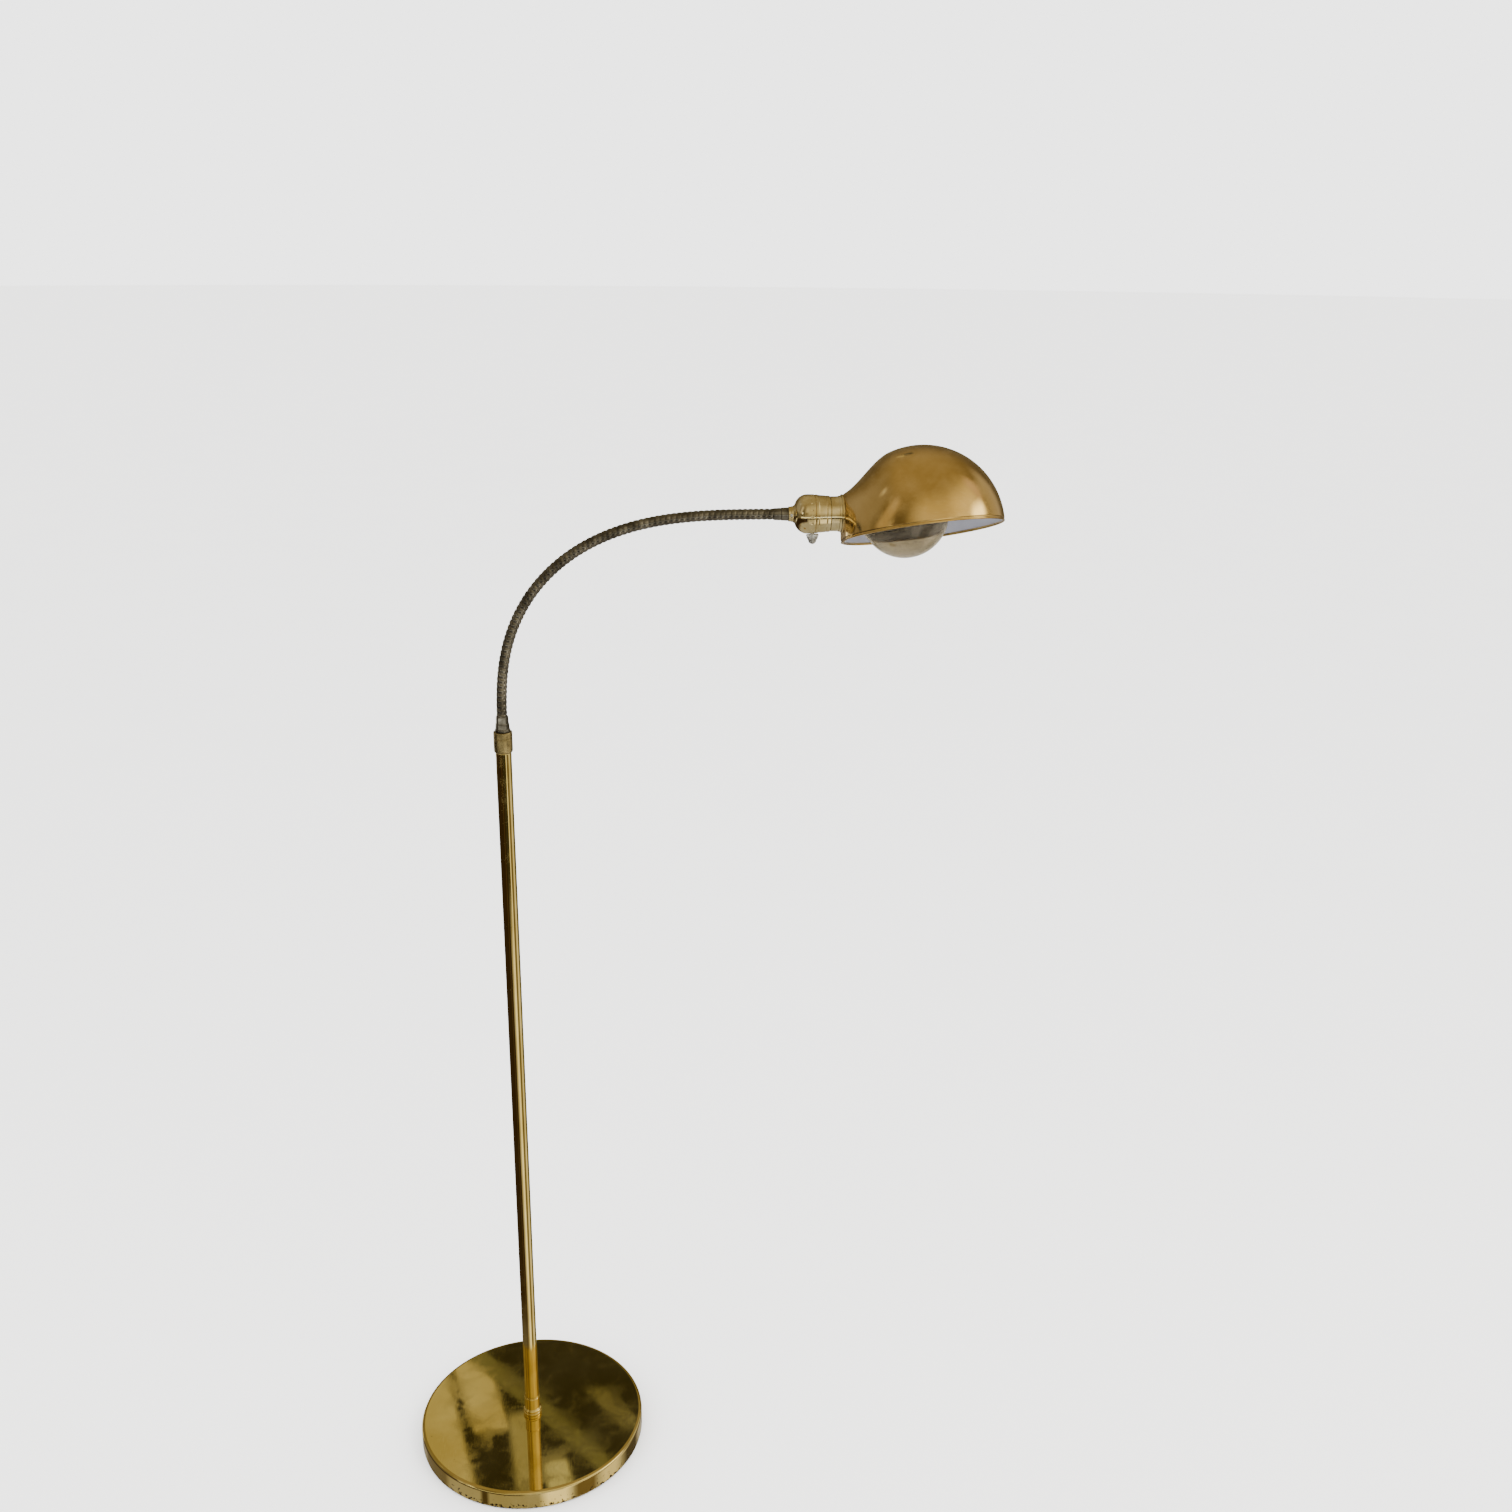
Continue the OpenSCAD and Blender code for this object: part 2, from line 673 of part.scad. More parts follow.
base_felt();
base_weight();
base_cover();
cord_bushing();
base_nipple();
base_washer();
base_nut();
pole_collar();
pole_plug();
pole_tube();
neck_coupling();
neck_ferrule_lower();
neck_link(0);  // neck_link_00
neck_link(1);  // neck_link_01
neck_link(2);  // neck_link_02
neck_link(3);  // neck_link_03
neck_link(4);  // neck_link_04
neck_link(5);  // neck_link_05
neck_link(6);  // neck_link_06
neck_link(7);  // neck_link_07
neck_link(8);  // neck_link_08
neck_link(9);  // neck_link_09
neck_link(10);  // neck_link_10
neck_link(11);  // neck_link_11
neck_link(12);  // neck_link_12
neck_ferrule_upper();
socket_cap();
cap_set_screw();
socket_shell();
socket_liner();
socket_body();
terminal_screws();
screw_shell();
centre_contact();
switch_shaft();
switch_key();
shade_holder();
shade_nut();
shade_collar();
shade();
bulb_glass();
bulb_cap();
bulb_contact();
bulb_stem();
bulb_filament();
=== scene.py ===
"""Gooseneck floor lamp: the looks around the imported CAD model. Metres, +Z up."""
import json
from math import cos, pi, radians, sin, sqrt, tau

import bmesh
import bpy
import numpy as np
from mathutils import Matrix, Vector


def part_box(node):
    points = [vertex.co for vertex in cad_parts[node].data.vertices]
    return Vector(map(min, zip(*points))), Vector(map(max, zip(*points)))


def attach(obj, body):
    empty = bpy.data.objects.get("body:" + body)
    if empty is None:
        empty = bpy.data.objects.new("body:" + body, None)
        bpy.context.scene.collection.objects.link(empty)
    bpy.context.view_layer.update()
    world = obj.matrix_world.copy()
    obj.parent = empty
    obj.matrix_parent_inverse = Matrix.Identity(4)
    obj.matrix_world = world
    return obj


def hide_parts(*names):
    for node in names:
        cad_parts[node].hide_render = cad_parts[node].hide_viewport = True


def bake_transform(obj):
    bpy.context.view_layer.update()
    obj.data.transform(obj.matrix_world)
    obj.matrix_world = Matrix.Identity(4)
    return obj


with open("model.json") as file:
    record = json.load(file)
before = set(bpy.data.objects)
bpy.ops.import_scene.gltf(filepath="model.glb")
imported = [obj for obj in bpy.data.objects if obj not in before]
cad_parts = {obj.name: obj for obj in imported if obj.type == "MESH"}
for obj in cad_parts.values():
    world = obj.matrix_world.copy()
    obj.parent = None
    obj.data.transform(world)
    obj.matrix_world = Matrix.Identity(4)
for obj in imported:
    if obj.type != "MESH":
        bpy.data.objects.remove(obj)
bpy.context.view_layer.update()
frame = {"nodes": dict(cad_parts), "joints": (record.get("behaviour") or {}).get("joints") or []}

MM = 0.001
X, Y, Z = Vector((1, 0, 0)), Vector((0, 1, 0)), Vector((0, 0, 1))
joints = {joint["name"]: joint for joint in frame["joints"]}


# ------------------------------------------------------------------ camera and light

CAMERA_PLACE = Vector((0.1219, -1.5181, 1.3317))
CAMERA_YAW = radians(5.0)        # from straight ahead towards +X
CAMERA_PITCH = radians(18.43)    # downwards
CAMERA_ROLL = radians(0.52)
CAMERA_LENS = 37.48              # on a 36 mm sensor


def add_camera():
    data = bpy.data.cameras.new("camera")
    data.lens = CAMERA_LENS
    data.sensor_width = 36
    camera = bpy.data.objects.new("camera", data)
    bpy.context.scene.collection.objects.link(camera)
    turn = (Matrix.Rotation(-CAMERA_YAW, 4, "Z")
            @ Matrix.Rotation(pi / 2 - CAMERA_PITCH, 4, "X")
            @ Matrix.Rotation(CAMERA_ROLL, 4, "Z"))
    camera.matrix_world = Matrix.Translation(CAMERA_PLACE) @ turn
    bpy.context.scene.camera = camera


def add_lamp(name, place, target, size, power, colour):
    data = bpy.data.lights.new(name, "AREA")
    data.shape = "DISK"
    data.size = size
    data.energy = power
    data.color = colour
    lamp = bpy.data.objects.new(name, data)
    bpy.context.scene.collection.objects.link(lamp)
    way = Vector(target) - Vector(place)
    turn = way.to_track_quat("-Z", "Y").to_matrix().to_4x4()
    lamp.matrix_world = Matrix.Translation(Vector(place)) @ turn
    lamp.visible_glossy = False


# ------------------------------------------------------------------ node graphs

class Graph:
    """Short calls for building one node tree."""

    def __init__(self, tree):
        self.tree = tree
        tree.nodes.clear()

    def add(self, kind, inputs=None, **settings):
        node = self.tree.nodes.new(kind)
        for key, value in settings.items():
            setattr(node, key, value)
        for key, value in (inputs or {}).items():
            if isinstance(value, bpy.types.NodeSocket):
                self.tree.links.new(value, node.inputs[key])
            else:
                node.inputs[key].default_value = value
        return node

    def math(self, operation, a, b=0.0):
        return self.add("ShaderNodeMath", {0: a, 1: b}, operation=operation).outputs[0]

    def remap(self, value, low, high, out_low=0.0, out_high=1.0):
        node = self.add("ShaderNodeMapRange", {
            "Value": value, "From Min": low, "From Max": high, "To Min": out_low, "To Max": out_high})
        return node.outputs[0]

    def mix(self, factor, a, b, blend="MIX"):
        node = self.add("ShaderNodeMix", {0: factor, 6: a, 7: b}, data_type="RGBA", blend_type=blend)
        return node.outputs[2]

    def noise(self, vector, scale, detail=2.0, distortion=0.0):
        node = self.add("ShaderNodeTexNoise", {
            "Vector": vector, "Scale": scale, "Detail": detail, "Distortion": distortion})
        return node.outputs[0]

    def stretched(self, vector, scale):
        return self.add("ShaderNodeMapping", {"Vector": vector, "Scale": scale}).outputs[0]

    def panel(self, across, up, middle, half, soft, slant=0.0):
        """1 inside a soft-edged upright panel in a pair of angles, 0 outside it."""
        height = self.math("SUBTRACT", up, middle[1])
        width = self.math("SUBTRACT", self.math("SUBTRACT", across, middle[0]),
                          self.math("MULTIPLY", height, slant))
        edges = [self.remap(self.math("ABSOLUTE", value), size + soft, size - soft)
                 for value, size in ((width, half[0]), (height, half[1]))]
        return self.math("MULTIPLY", *edges)


def rgb(*colour):
    return (*colour, 1.0)


def new_material(name):
    material = bpy.data.materials.new(name)
    material.use_nodes = True
    return material, Graph(material.node_tree)


def finish_material(graph, inputs):
    surface = graph.add("ShaderNodeBsdfPrincipled", inputs)
    graph.add("ShaderNodeOutputMaterial", {"Surface": surface.outputs[0]})


def metal(name, dark, light, rough=(0.1, 0.25), cloud=25, grain=(900, 900, 900), relief=0.02,
          specks=None, speck_colour=(0.05, 0.03, 0.015), speck_size=260):
    """Metal with cloudy tarnish, fine scratches and, in a zone along one axis, dark specks.
    specks is (axis index, height without specks, height with most of them, amount)."""
    material, graph = new_material(name)
    place = graph.add("ShaderNodeTexCoord").outputs["Object"]
    tarnish = graph.remap(graph.noise(place, cloud, 4, 0.4), 0.35, 0.68)
    scratches = graph.noise(graph.stretched(place, grain), 1.0, 3)
    smudges = graph.remap(graph.noise(place, cloud * 3.1, 3, 1.2), 0.4, 0.7)
    colour = graph.mix(tarnish, rgb(*dark), rgb(*light))
    colour = graph.mix(graph.remap(scratches, 0.55, 0.8, 0, 0.35), colour, rgb(*light))
    wear = graph.math("MULTIPLY", graph.math("ADD", smudges, scratches), 0.5)
    roughness = graph.remap(wear, 0.2, 0.75, *rough)
    if specks:
        axis, clean, worn, amount = specks
        height = graph.add("ShaderNodeSeparateXYZ", {0: place}).outputs[axis]
        zone = graph.remap(height, clean, worn)
        dots = graph.add("ShaderNodeTexNoise", {
            "Vector": place, "Scale": speck_size, "Detail": 3.0, "Roughness": 0.6}).outputs[0]
        dots = graph.remap(graph.math("ADD", dots, graph.math("MULTIPLY", zone, amount)), 0.72, 0.77)
        colour = graph.mix(dots, colour, rgb(*speck_colour))
        roughness = graph.math("ADD", roughness, graph.math("MULTIPLY", dots, 0.35))
    bump = graph.add("ShaderNodeBump", {
        "Strength": relief, "Distance": 0.0004,
        "Height": graph.math("ADD", scratches, graph.math("MULTIPLY", tarnish, 0.5))})
    finish_material(graph, {"Base Color": colour, "Metallic": 1.0, "Roughness": roughness,
                            "Normal": bump.outputs[0]})
    return material


def painted(name, dark, light, rough=(0.3, 0.5), cloud=30, grain=900, relief=0.1, coat=0.0):
    """Enamel, porcelain, plastic or iron: cloudy colour and a fine grain in the surface."""
    material, graph = new_material(name)
    place = graph.add("ShaderNodeTexCoord").outputs["Object"]
    clouds = graph.remap(graph.noise(place, cloud, 4), 0.35, 0.65)
    fine = graph.noise(place, grain, 3)
    colour = graph.mix(clouds, rgb(*dark), rgb(*light))
    bump = graph.add("ShaderNodeBump", {"Strength": relief, "Distance": 0.0003, "Height": fine})
    finish_material(graph, {
        "Base Color": colour, "Roughness": graph.remap(fine, 0.3, 0.7, *rough),
        "Coat Weight": coat, "Coat Roughness": 0.15, "Normal": bump.outputs[0]})
    return material


def felt():
    material, graph = new_material("felt")
    place = graph.add("ShaderNodeTexCoord").outputs["Object"]
    fibres = graph.noise(graph.stretched(place, (900, 2600, 900)), 1.0, 4, 2.0)
    clumps = graph.noise(place, 160, 3)
    tufts = graph.math("MULTIPLY", fibres, clumps)
    colour = graph.mix(tufts, rgb(0.03, 0.07, 0.045), rgb(0.16, 0.3, 0.2))
    bump = graph.add("ShaderNodeBump", {"Strength": 0.6, "Distance": 0.0006, "Height": fibres})
    finish_material(graph, {"Base Color": colour, "Roughness": 0.95, "Sheen Weight": 0.5,
                            "Sheen Roughness": 0.5, "Normal": bump.outputs[0]})
    return material


def glass(name, tint, deep, rough=(0.0, 0.05)):
    """Clear glass whose tint varies softly, with faint smears."""
    material, graph = new_material(name)
    place = graph.add("ShaderNodeTexCoord").outputs["Object"]
    clouds = graph.remap(graph.noise(place, 14, 2, 0.6), 0.35, 0.65)
    smears = graph.remap(graph.noise(graph.stretched(place, (60, 60, 160)), 1.0, 4, 1.5), 0.45, 0.8)
    bump = graph.add("ShaderNodeBump", {"Strength": 0.03, "Distance": 0.001, "Height": clouds})
    finish_material(graph, {
        "Base Color": graph.mix(clouds, rgb(*tint), rgb(*deep)), "Transmission Weight": 1.0, "IOR": 1.46,
        "Roughness": graph.remap(smears, 0, 1, *rough), "Normal": bump.outputs[0]})
    return material


def floor_material():
    material, graph = new_material("floor")
    place = graph.add("ShaderNodeTexCoord").outputs["Object"]
    clouds = graph.noise(place, 3, 4)
    colour = graph.mix(clouds, rgb(0.90, 0.895, 0.885), rgb(0.93, 0.925, 0.915))
    finish_material(graph, {"Base Color": colour, "Roughness": 0.85, "Specular IOR Level": 0.1})
    return material


# What polished metal mirrors: panels of light and shade in a dim room, each over the ones
# before it, as (middle, half size, softness, slant, colour) in degrees. The bearing in front
# is 0 towards -Y, the one behind is 0 towards +Y, and both grow towards +X.
ROOM_FRONT = (
    ((-90, -27), (82, 13), 3, 0, (0.045, 0.026, 0.014)),    # dark furniture at the left
    ((-34, -27), (5, 13), 3, 0, (0.10, 0.065, 0.035)),
    ((-50, -44), (4, 3), 2, 0, (0.10, 0.07, 0.04)),         # its feet
    ((-120, -44), (22, 3), 4, 0, (0.10, 0.07, 0.04)),
    ((26, -33), (14, 18), 5, 0, (1.7, 1.5, 1.15)),          # pale floor at the right
    ((58, -33), (12, 18), 3, 0, (0.22, 0.16, 0.085)),
    ((90, -33), (13, 18), 6, 0, (1.2, 1.05, 0.8)),
    ((128, -33), (16, 18), 6, 0, (0.10, 0.08, 0.055)),
    ((36, 26), (60, 25), 13, 0.2, (0.86, 0.73, 0.48)),      # wide window
    ((62, 27), (26, 18), 10, 0.2, (1.25, 1.08, 0.74)),      # brighter part of it
    ((80, 16), (13, 8.5), 5, 0.3, (4.2, 3.9, 3.3)),         # sun in it
    ((100, 36), (8, 11), 5, 0, (0.95, 0.74, 0.60)),
    ((-14, 9), (12, 7), 6, 0, (0.28, 0.22, 0.12)),          # chair back before the window
    ((-66, 24), (9, 18), 4, 0.3, (0.62, 0.50, 0.33)),       # door at the left
    ((-104, 24), (4, 16), 2, 0, (1.9, 1.8, 1.55)),          # narrow window at the left
    ((-56, 9), (3, 3.5), 2, 0, (3.6, 3.4, 2.9)),            # lamp beside it
    ((0, -12.5), (70, 2.6), 1.2, 0, (2.3, 2.2, 1.9)),       # pale sill
    ((8, -20), (22, 4.4), 1.6, 0, (0.06, 0.05, 0.03)),      # dark band under it
)
ROOM_BACK = (
    ((-70, 20), (24, 22), 9, 0, (0.34, 0.29, 0.21)),
    ((62, 12), (16, 20), 6, 0, (0.60, 0.53, 0.42)),
    ((-42, -10), (14, 6), 3, 0, (3.0, 2.9, 2.6)),
    ((-4.6, 40.8), (5.6, 2.9), 0.3, 0, (0.045, 0.038, 0.022)),  # furniture seen in the base
    ((-9.6, 41), (1.9, 3.4), 0.1, 0.25, (0.62, 0.52, 0.28)),
    ((-6.9, 39.7), (0.75, 1.45), 0.1, 0.35, (0.60, 0.50, 0.27)),
    ((-4.1, 40.7), (0.52, 3), 0.08, 1.43, (0.19, 0.175, 0.09)),
    ((-1.0, 40.8), (0.50, 0.65), 0.1, 1.3, (0.20, 0.18, 0.10)),
    ((-5.1, 41.9), (0.45, 1.2), 0.15, 0.1, (0.40, 0.35, 0.20)),
    ((-3.6, 42.7), (0.55, 0.45), 0.12, 0.3, (0.60, 0.54, 0.32)),
)


STUDIO = (3.3, 3.3, 3.28)        # what the camera and plain surfaces see
ROOM_WALLS, ROOM_CEILING, ROOM_FLOOR = (0.15, 0.115, 0.06), (0.40, 0.31, 0.16), (0.52, 0.47, 0.39)


def add_world():
    """A pale studio, which polished metal mirrors as a room with windows and darker corners."""
    world = bpy.data.worlds.new("studio")
    world.use_nodes = True
    bpy.context.scene.world = world
    graph = Graph(world.node_tree)
    way = graph.add("ShaderNodeTexCoord").outputs["Generated"]
    across, away, up = graph.add("ShaderNodeSeparateXYZ", {0: way}).outputs
    degree = pi / 180
    height = graph.math("DIVIDE", graph.math("ARCSINE", up), degree)
    behind = graph.math("DIVIDE", graph.math("ARCTAN2", across, away), degree)
    toward = graph.math("MULTIPLY", away, -1.0)
    in_front = graph.math("DIVIDE", graph.math("ARCTAN2", across, toward), degree)
    room = graph.mix(graph.remap(up, 0.3, 0.9), rgb(*ROOM_WALLS), rgb(*ROOM_CEILING))
    room = graph.mix(graph.remap(up, -0.1, -0.45), room, rgb(*ROOM_FLOOR))
    for bearing, panels in ((in_front, ROOM_FRONT), (behind, ROOM_BACK)):
        for middle, half, soft, slant, colour in panels:
            inside = graph.panel(bearing, height, middle, half, soft, slant)
            room = graph.mix(inside, room, rgb(*colour))
    mirror = graph.add("ShaderNodeLightPath").outputs["Is Glossy Ray"]
    background = graph.add("ShaderNodeBackground", {
        "Color": graph.mix(mirror, rgb(*STUDIO), room), "Strength": 1.0})
    graph.add("ShaderNodeOutputWorld", {"Surface": background.outputs[0]})


# ------------------------------------------------------------------ mesh helpers

def add_piece(name, mesh, materials, body, replaces=()):
    """Puts a finished mesh in the scene, on its body, in place of the CAD nodes it stands for."""
    for material in materials:
        mesh.materials.append(material)
    piece = bpy.data.objects.new(name, mesh)
    bpy.context.scene.collection.objects.link(piece)
    if body:
        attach(piece, body)
    if replaces:
        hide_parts(*replaces)
    return piece


def make_mesh(name, points, faces, sharp=35):
    mesh = bpy.data.meshes.new(name)
    mesh.from_pydata([tuple(p) for p in points], [], faces)
    work = bmesh.new()
    work.from_mesh(mesh)
    bmesh.ops.remove_doubles(work, verts=work.verts, dist=1e-6)
    bmesh.ops.recalc_face_normals(work, faces=work.faces)
    work.to_mesh(mesh)
    work.free()
    smooth(mesh, sharp)
    return mesh


def smooth(mesh, sharp=35):
    mesh.shade_smooth()
    mesh.set_sharp_from_angle(angle=radians(sharp))


def rounded(corners, steps=5):
    """Closed outline of (along, radius, rounding) corners, each rounded by a short curve."""
    outline = []
    for k, (along, radius, rounding) in enumerate(corners):
        here = Vector((along, radius))
        if not rounding:
            outline.append(here)
            continue
        before, after = corners[k - 1], corners[(k + 1) % len(corners)]
        sides = [Vector(before[:2]) - here, Vector(after[:2]) - here]
        start, end = [here + side.normalized() * min(rounding, side.length * 0.48) for side in sides]
        for step in range(steps + 1):
            t = step / steps
            outline.append(start * (1 - t) ** 2 + here * 2 * t * (1 - t) + end * t * t)
    return outline


def braced(outline, margin=0.15 * MM):
    """Adds a point near each end of every long straight stretch, which keeps its shading flat."""
    result = []
    for here, there in zip(outline, outline[1:] + outline[:1]):
        result.append(here)
        length = (there - here).length
        if length > 8 * margin:
            result += [here.lerp(there, margin / length), there.lerp(here, margin / length)]
    return result


def turned(name, outline, origin, axis=Z, segments=128, shift=None):
    """Turns a closed outline of (along, radius) points about an axis through origin.
    shift, where given, moves each point's radius: shift(along, radius, angle)."""
    outline = braced(outline)
    side = Vector((0, 0, 1)) if abs(axis.z) < 0.5 else Vector((1, 0, 0))
    other = axis.cross(side)
    points, faces = [], []
    count = len(outline)
    for segment in range(segments):
        angle = tau * segment / segments
        spoke = side * cos(angle) + other * sin(angle)
        for along, radius in outline:
            if shift:
                radius += shift(along, radius, angle)
            points.append(origin + axis * along + spoke * radius)
        for k in range(count):
            a = segment * count
            b = (segment + 1) % segments * count
            n = (k + 1) % count
            faces.append((a + k, b + k, b + n, a + n))
    return make_mesh(name, points, faces)


def drill(mesh, place, axis, radius, length):
    """Cuts a round hole through a mesh and returns the result, without materials."""
    rod = [Vector(p) for p in ((0, 0), (length, 0), (length, radius), (0, radius))]
    cutter = bpy.data.objects.new("cutter", turned("cutter", rod, Vector(place), Vector(axis), 48))
    body = bpy.data.objects.new("body", mesh)
    for item in (cutter, body):
        bpy.context.scene.collection.objects.link(item)
    cut = body.modifiers.new("cut", "BOOLEAN")
    cut.object = cutter
    cut.solver = "EXACT"
    bpy.context.view_layer.update()
    drilled = body.evaluated_get(bpy.context.evaluated_depsgraph_get())
    result = bpy.data.meshes.new_from_object(drilled)
    for item in (cutter, body):
        bpy.data.objects.remove(item)
    result.materials.clear()
    smooth(result)
    return result


# ------------------------------------------------------------------ materials

BRASS_DARK, BRASS_LIGHT = (0.62, 0.49, 0.15), (0.85, 0.71, 0.29)

brass_polished = metal(
    "brass_polished", BRASS_DARK, BRASS_LIGHT, rough=(0.015, 0.07), cloud=11, grain=(700, 90, 700),
    relief=0.003, specks=(2, 0.017, 0.001, 0.23))
brass_pole = metal("brass_pole", BRASS_DARK, BRASS_LIGHT, rough=(0.03, 0.12), cloud=16,
                   grain=(3000, 3000, 20), relief=0.015)
brass_aged = metal(
    "brass_aged", (0.20, 0.16, 0.07), (0.46, 0.37, 0.17), rough=(0.22, 0.42), cloud=90,
    grain=(3000, 3000, 120), relief=0.06)
brass_socket = metal(
    "brass_socket", (0.60, 0.48, 0.20), (0.88, 0.77, 0.45), rough=(0.06, 0.17), cloud=60,
    grain=(4200, 120, 120), relief=0.05, specks=(0, 0.30, 0.31, 0.03), speck_size=900)
brass_shade = metal(
    "brass_shade", (0.62, 0.42, 0.13), (0.82, 0.60, 0.25), rough=(0.09, 0.22), cloud=16,
    grain=(160, 700, 700), relief=0.02)
brass_inner = metal(
    "brass_inner", (0.62, 0.46, 0.18), (0.85, 0.68, 0.36), rough=(0.25, 0.4), cloud=80)
pewter = metal(
    "pewter_steel", (0.085, 0.08, 0.065), (0.25, 0.24, 0.205), rough=(0.1, 0.22), cloud=90,
    grain=(2600, 2600, 2600), relief=0.04)
zinc = metal("zinc_steel", (0.42, 0.43, 0.42), (0.66, 0.66, 0.63), rough=(0.3, 0.45), cloud=120)
nickel = metal("nickel", (0.38, 0.39, 0.38), (0.68, 0.69, 0.68), rough=(0.18, 0.34), cloud=130,
               grain=(600, 600, 2400), relief=0.05)
bulb_metal = metal(
    "bulb_base_metal", (0.55, 0.54, 0.50), (0.80, 0.79, 0.75), rough=(0.22, 0.36), cloud=150)
tungsten = metal("filament", (0.10, 0.08, 0.07), (0.32, 0.27, 0.22), rough=(0.3, 0.5), cloud=400)
# The enamel's grey, faintly blue colour is painted shade: white enamel darkened to stand for the shadow
# inside the shade.
enamel = painted(
    "enamel_white", (0.27, 0.27, 0.305), (0.35, 0.35, 0.385), rough=(0.28, 0.42), cloud=18,
    relief=0.06, coat=0.3)
iron = painted(
    "cast_iron", (0.035, 0.034, 0.033), (0.085, 0.083, 0.08), rough=(0.6, 0.85), cloud=70,
    grain=420, relief=0.6)
plastic = painted("brown_plastic", (0.035, 0.02, 0.013), (0.075, 0.042, 0.027), grain=1600)
fibre = painted(
    "fibre", (0.26, 0.17, 0.09), (0.42, 0.29, 0.17), rough=(0.6, 0.8), cloud=260, grain=1900)
porcelain = painted(
    "porcelain", (0.74, 0.71, 0.64), (0.86, 0.84, 0.78), rough=(0.12, 0.25), coat=0.6)
black_glass = painted(
    "black_glass", (0.008, 0.008, 0.011), (0.03, 0.03, 0.04), rough=(0.1, 0.25), coat=0.5)
smoked_glass = glass("smoked_glass", (0.42, 0.37, 0.28), (0.29, 0.255, 0.18))
stem_glass = glass("stem_glass", (0.95, 0.97, 0.95), (0.88, 0.91, 0.88))
felt_pad = felt()

CARRIED = {
    "base_felt": felt_pad, "base_weight": iron, "cord_bushing": plastic, "base_nipple": zinc,
    "base_washer": zinc, "base_nut": zinc, "pole_plug": zinc, "cap_set_screw": zinc,
    "socket_liner": fibre, "socket_body": porcelain, "terminal_screws": brass_inner,
    "screw_shell": brass_inner, "centre_contact": brass_inner, "switch_shaft": zinc,
    "shade_nut": brass_inner, "shade_collar": brass_shade, "bulb_contact": black_glass,
}


def dress_carried_nodes():
    for node, material in CARRIED.items():
        mesh = frame["nodes"][node].data
        mesh.materials.clear()
        mesh.materials.append(material)


# ------------------------------------------------------------------ stand

def add_base_cover():
    """Spun brass dish: a flat top, a small round edge and a skirt that ends in a rolled lip."""
    low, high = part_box("base_cover")
    radius, skin, edge = high.x, 1.0 * MM, 3.6 * MM
    bore = 5.0 * MM
    outline = rounded([
        (high.z, bore, 0), (high.z, radius, edge),
        (low.z + 1.4 * MM, radius, 0.3 * MM), (low.z + 0.9 * MM, radius - 0.35 * MM, 0.2 * MM),
        (low.z, radius - 0.3 * MM, 0.3 * MM), (low.z, radius - skin, 0.2 * MM),
        (high.z - skin, radius - skin, edge - skin), (high.z - skin, bore, 0)], 8)
    mesh = turned("base_cover_shell", outline, Vector(), Z, 256)
    bushing_low, bushing_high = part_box("cord_bushing")
    middle = (bushing_low + bushing_high) / 2
    hole_r, reach = 4.8 * MM, 20 * MM
    mesh = drill(mesh, middle - Y * reach, Y, hole_r, 2 * reach)
    add_piece("base_cover_shell", mesh, [brass_polished], "stand", ["base_cover"])


def add_pole():
    low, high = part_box("pole_tube")
    radius, wall = high.x, 1.2 * MM
    outline = rounded([
        (low.z, radius, 0.2 * MM), (high.z, radius, 0.3 * MM),
        (high.z, radius - wall, 0), (low.z, radius - wall, 0)])
    mesh = turned("pole", outline, Vector(), Z, 96)
    add_piece("pole", mesh, [brass_pole], "stand", ["pole_tube"])


def add_collar():
    """Collar round the pole's foot: a stepped flange below a plain sleeve."""
    low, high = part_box("pole_collar")
    foot, sleeve = high.x, 8.75 * MM
    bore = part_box("pole_tube")[1].x + 0.1 * MM
    step = low.z + 7.4 * MM
    outline = rounded([
        (low.z, bore, 0), (low.z, foot - 0.3 * MM, 0.2 * MM), (low.z + 0.8 * MM, foot, 0.4 * MM),
        (low.z + 2.6 * MM, foot, 0.3 * MM), (low.z + 3.1 * MM, foot - 0.7 * MM, 0.2 * MM),
        (low.z + 3.6 * MM, foot - 0.7 * MM, 0.2 * MM), (low.z + 4.1 * MM, foot, 0.3 * MM),
        (step - 1.2 * MM, foot, 0.7 * MM), (step, sleeve + 0.5 * MM, 0.4 * MM),
        (step + 0.5 * MM, sleeve, 0.3 * MM), (high.z - 2.2 * MM, sleeve, 0.2 * MM),
        (high.z - 1.8 * MM, sleeve - 0.3 * MM, 0.1 * MM), (high.z - 1.4 * MM, sleeve, 0.2 * MM),
        (high.z, sleeve, 0.5 * MM), (high.z, bore, 0.2 * MM)], 6)
    mesh = turned("foot_collar", outline, Vector(), Z, 128)
    add_piece("foot_collar", mesh, [brass_polished], "stand", ["pole_collar"])


def add_coupling():
    low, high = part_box("neck_coupling")
    radius, bore, stub = high.x, 5.1 * MM, 6.65 * MM
    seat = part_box("pole_tube")[1].z
    groove = seat + 15 * MM
    outline = rounded([
        (low.z, bore, 0), (low.z, stub, 0.2 * MM), (seat, stub, 0),
        (seat, radius - 1.2 * MM, 0.3 * MM), (seat + 1.6 * MM, radius, 0.6 * MM),
        (groove - 0.5 * MM, radius, 0.2 * MM), (groove, radius - 0.4 * MM, 0.2 * MM),
        (groove + 0.5 * MM, radius, 0.2 * MM), (high.z, radius, 1.1 * MM), (high.z, bore, 0.3 * MM)], 6)
    mesh = turned("pole_coupling", outline, Vector(), Z, 128)
    add_piece("pole_coupling", mesh, [brass_aged], "stand", ["neck_coupling"])


# ------------------------------------------------------------------ gooseneck

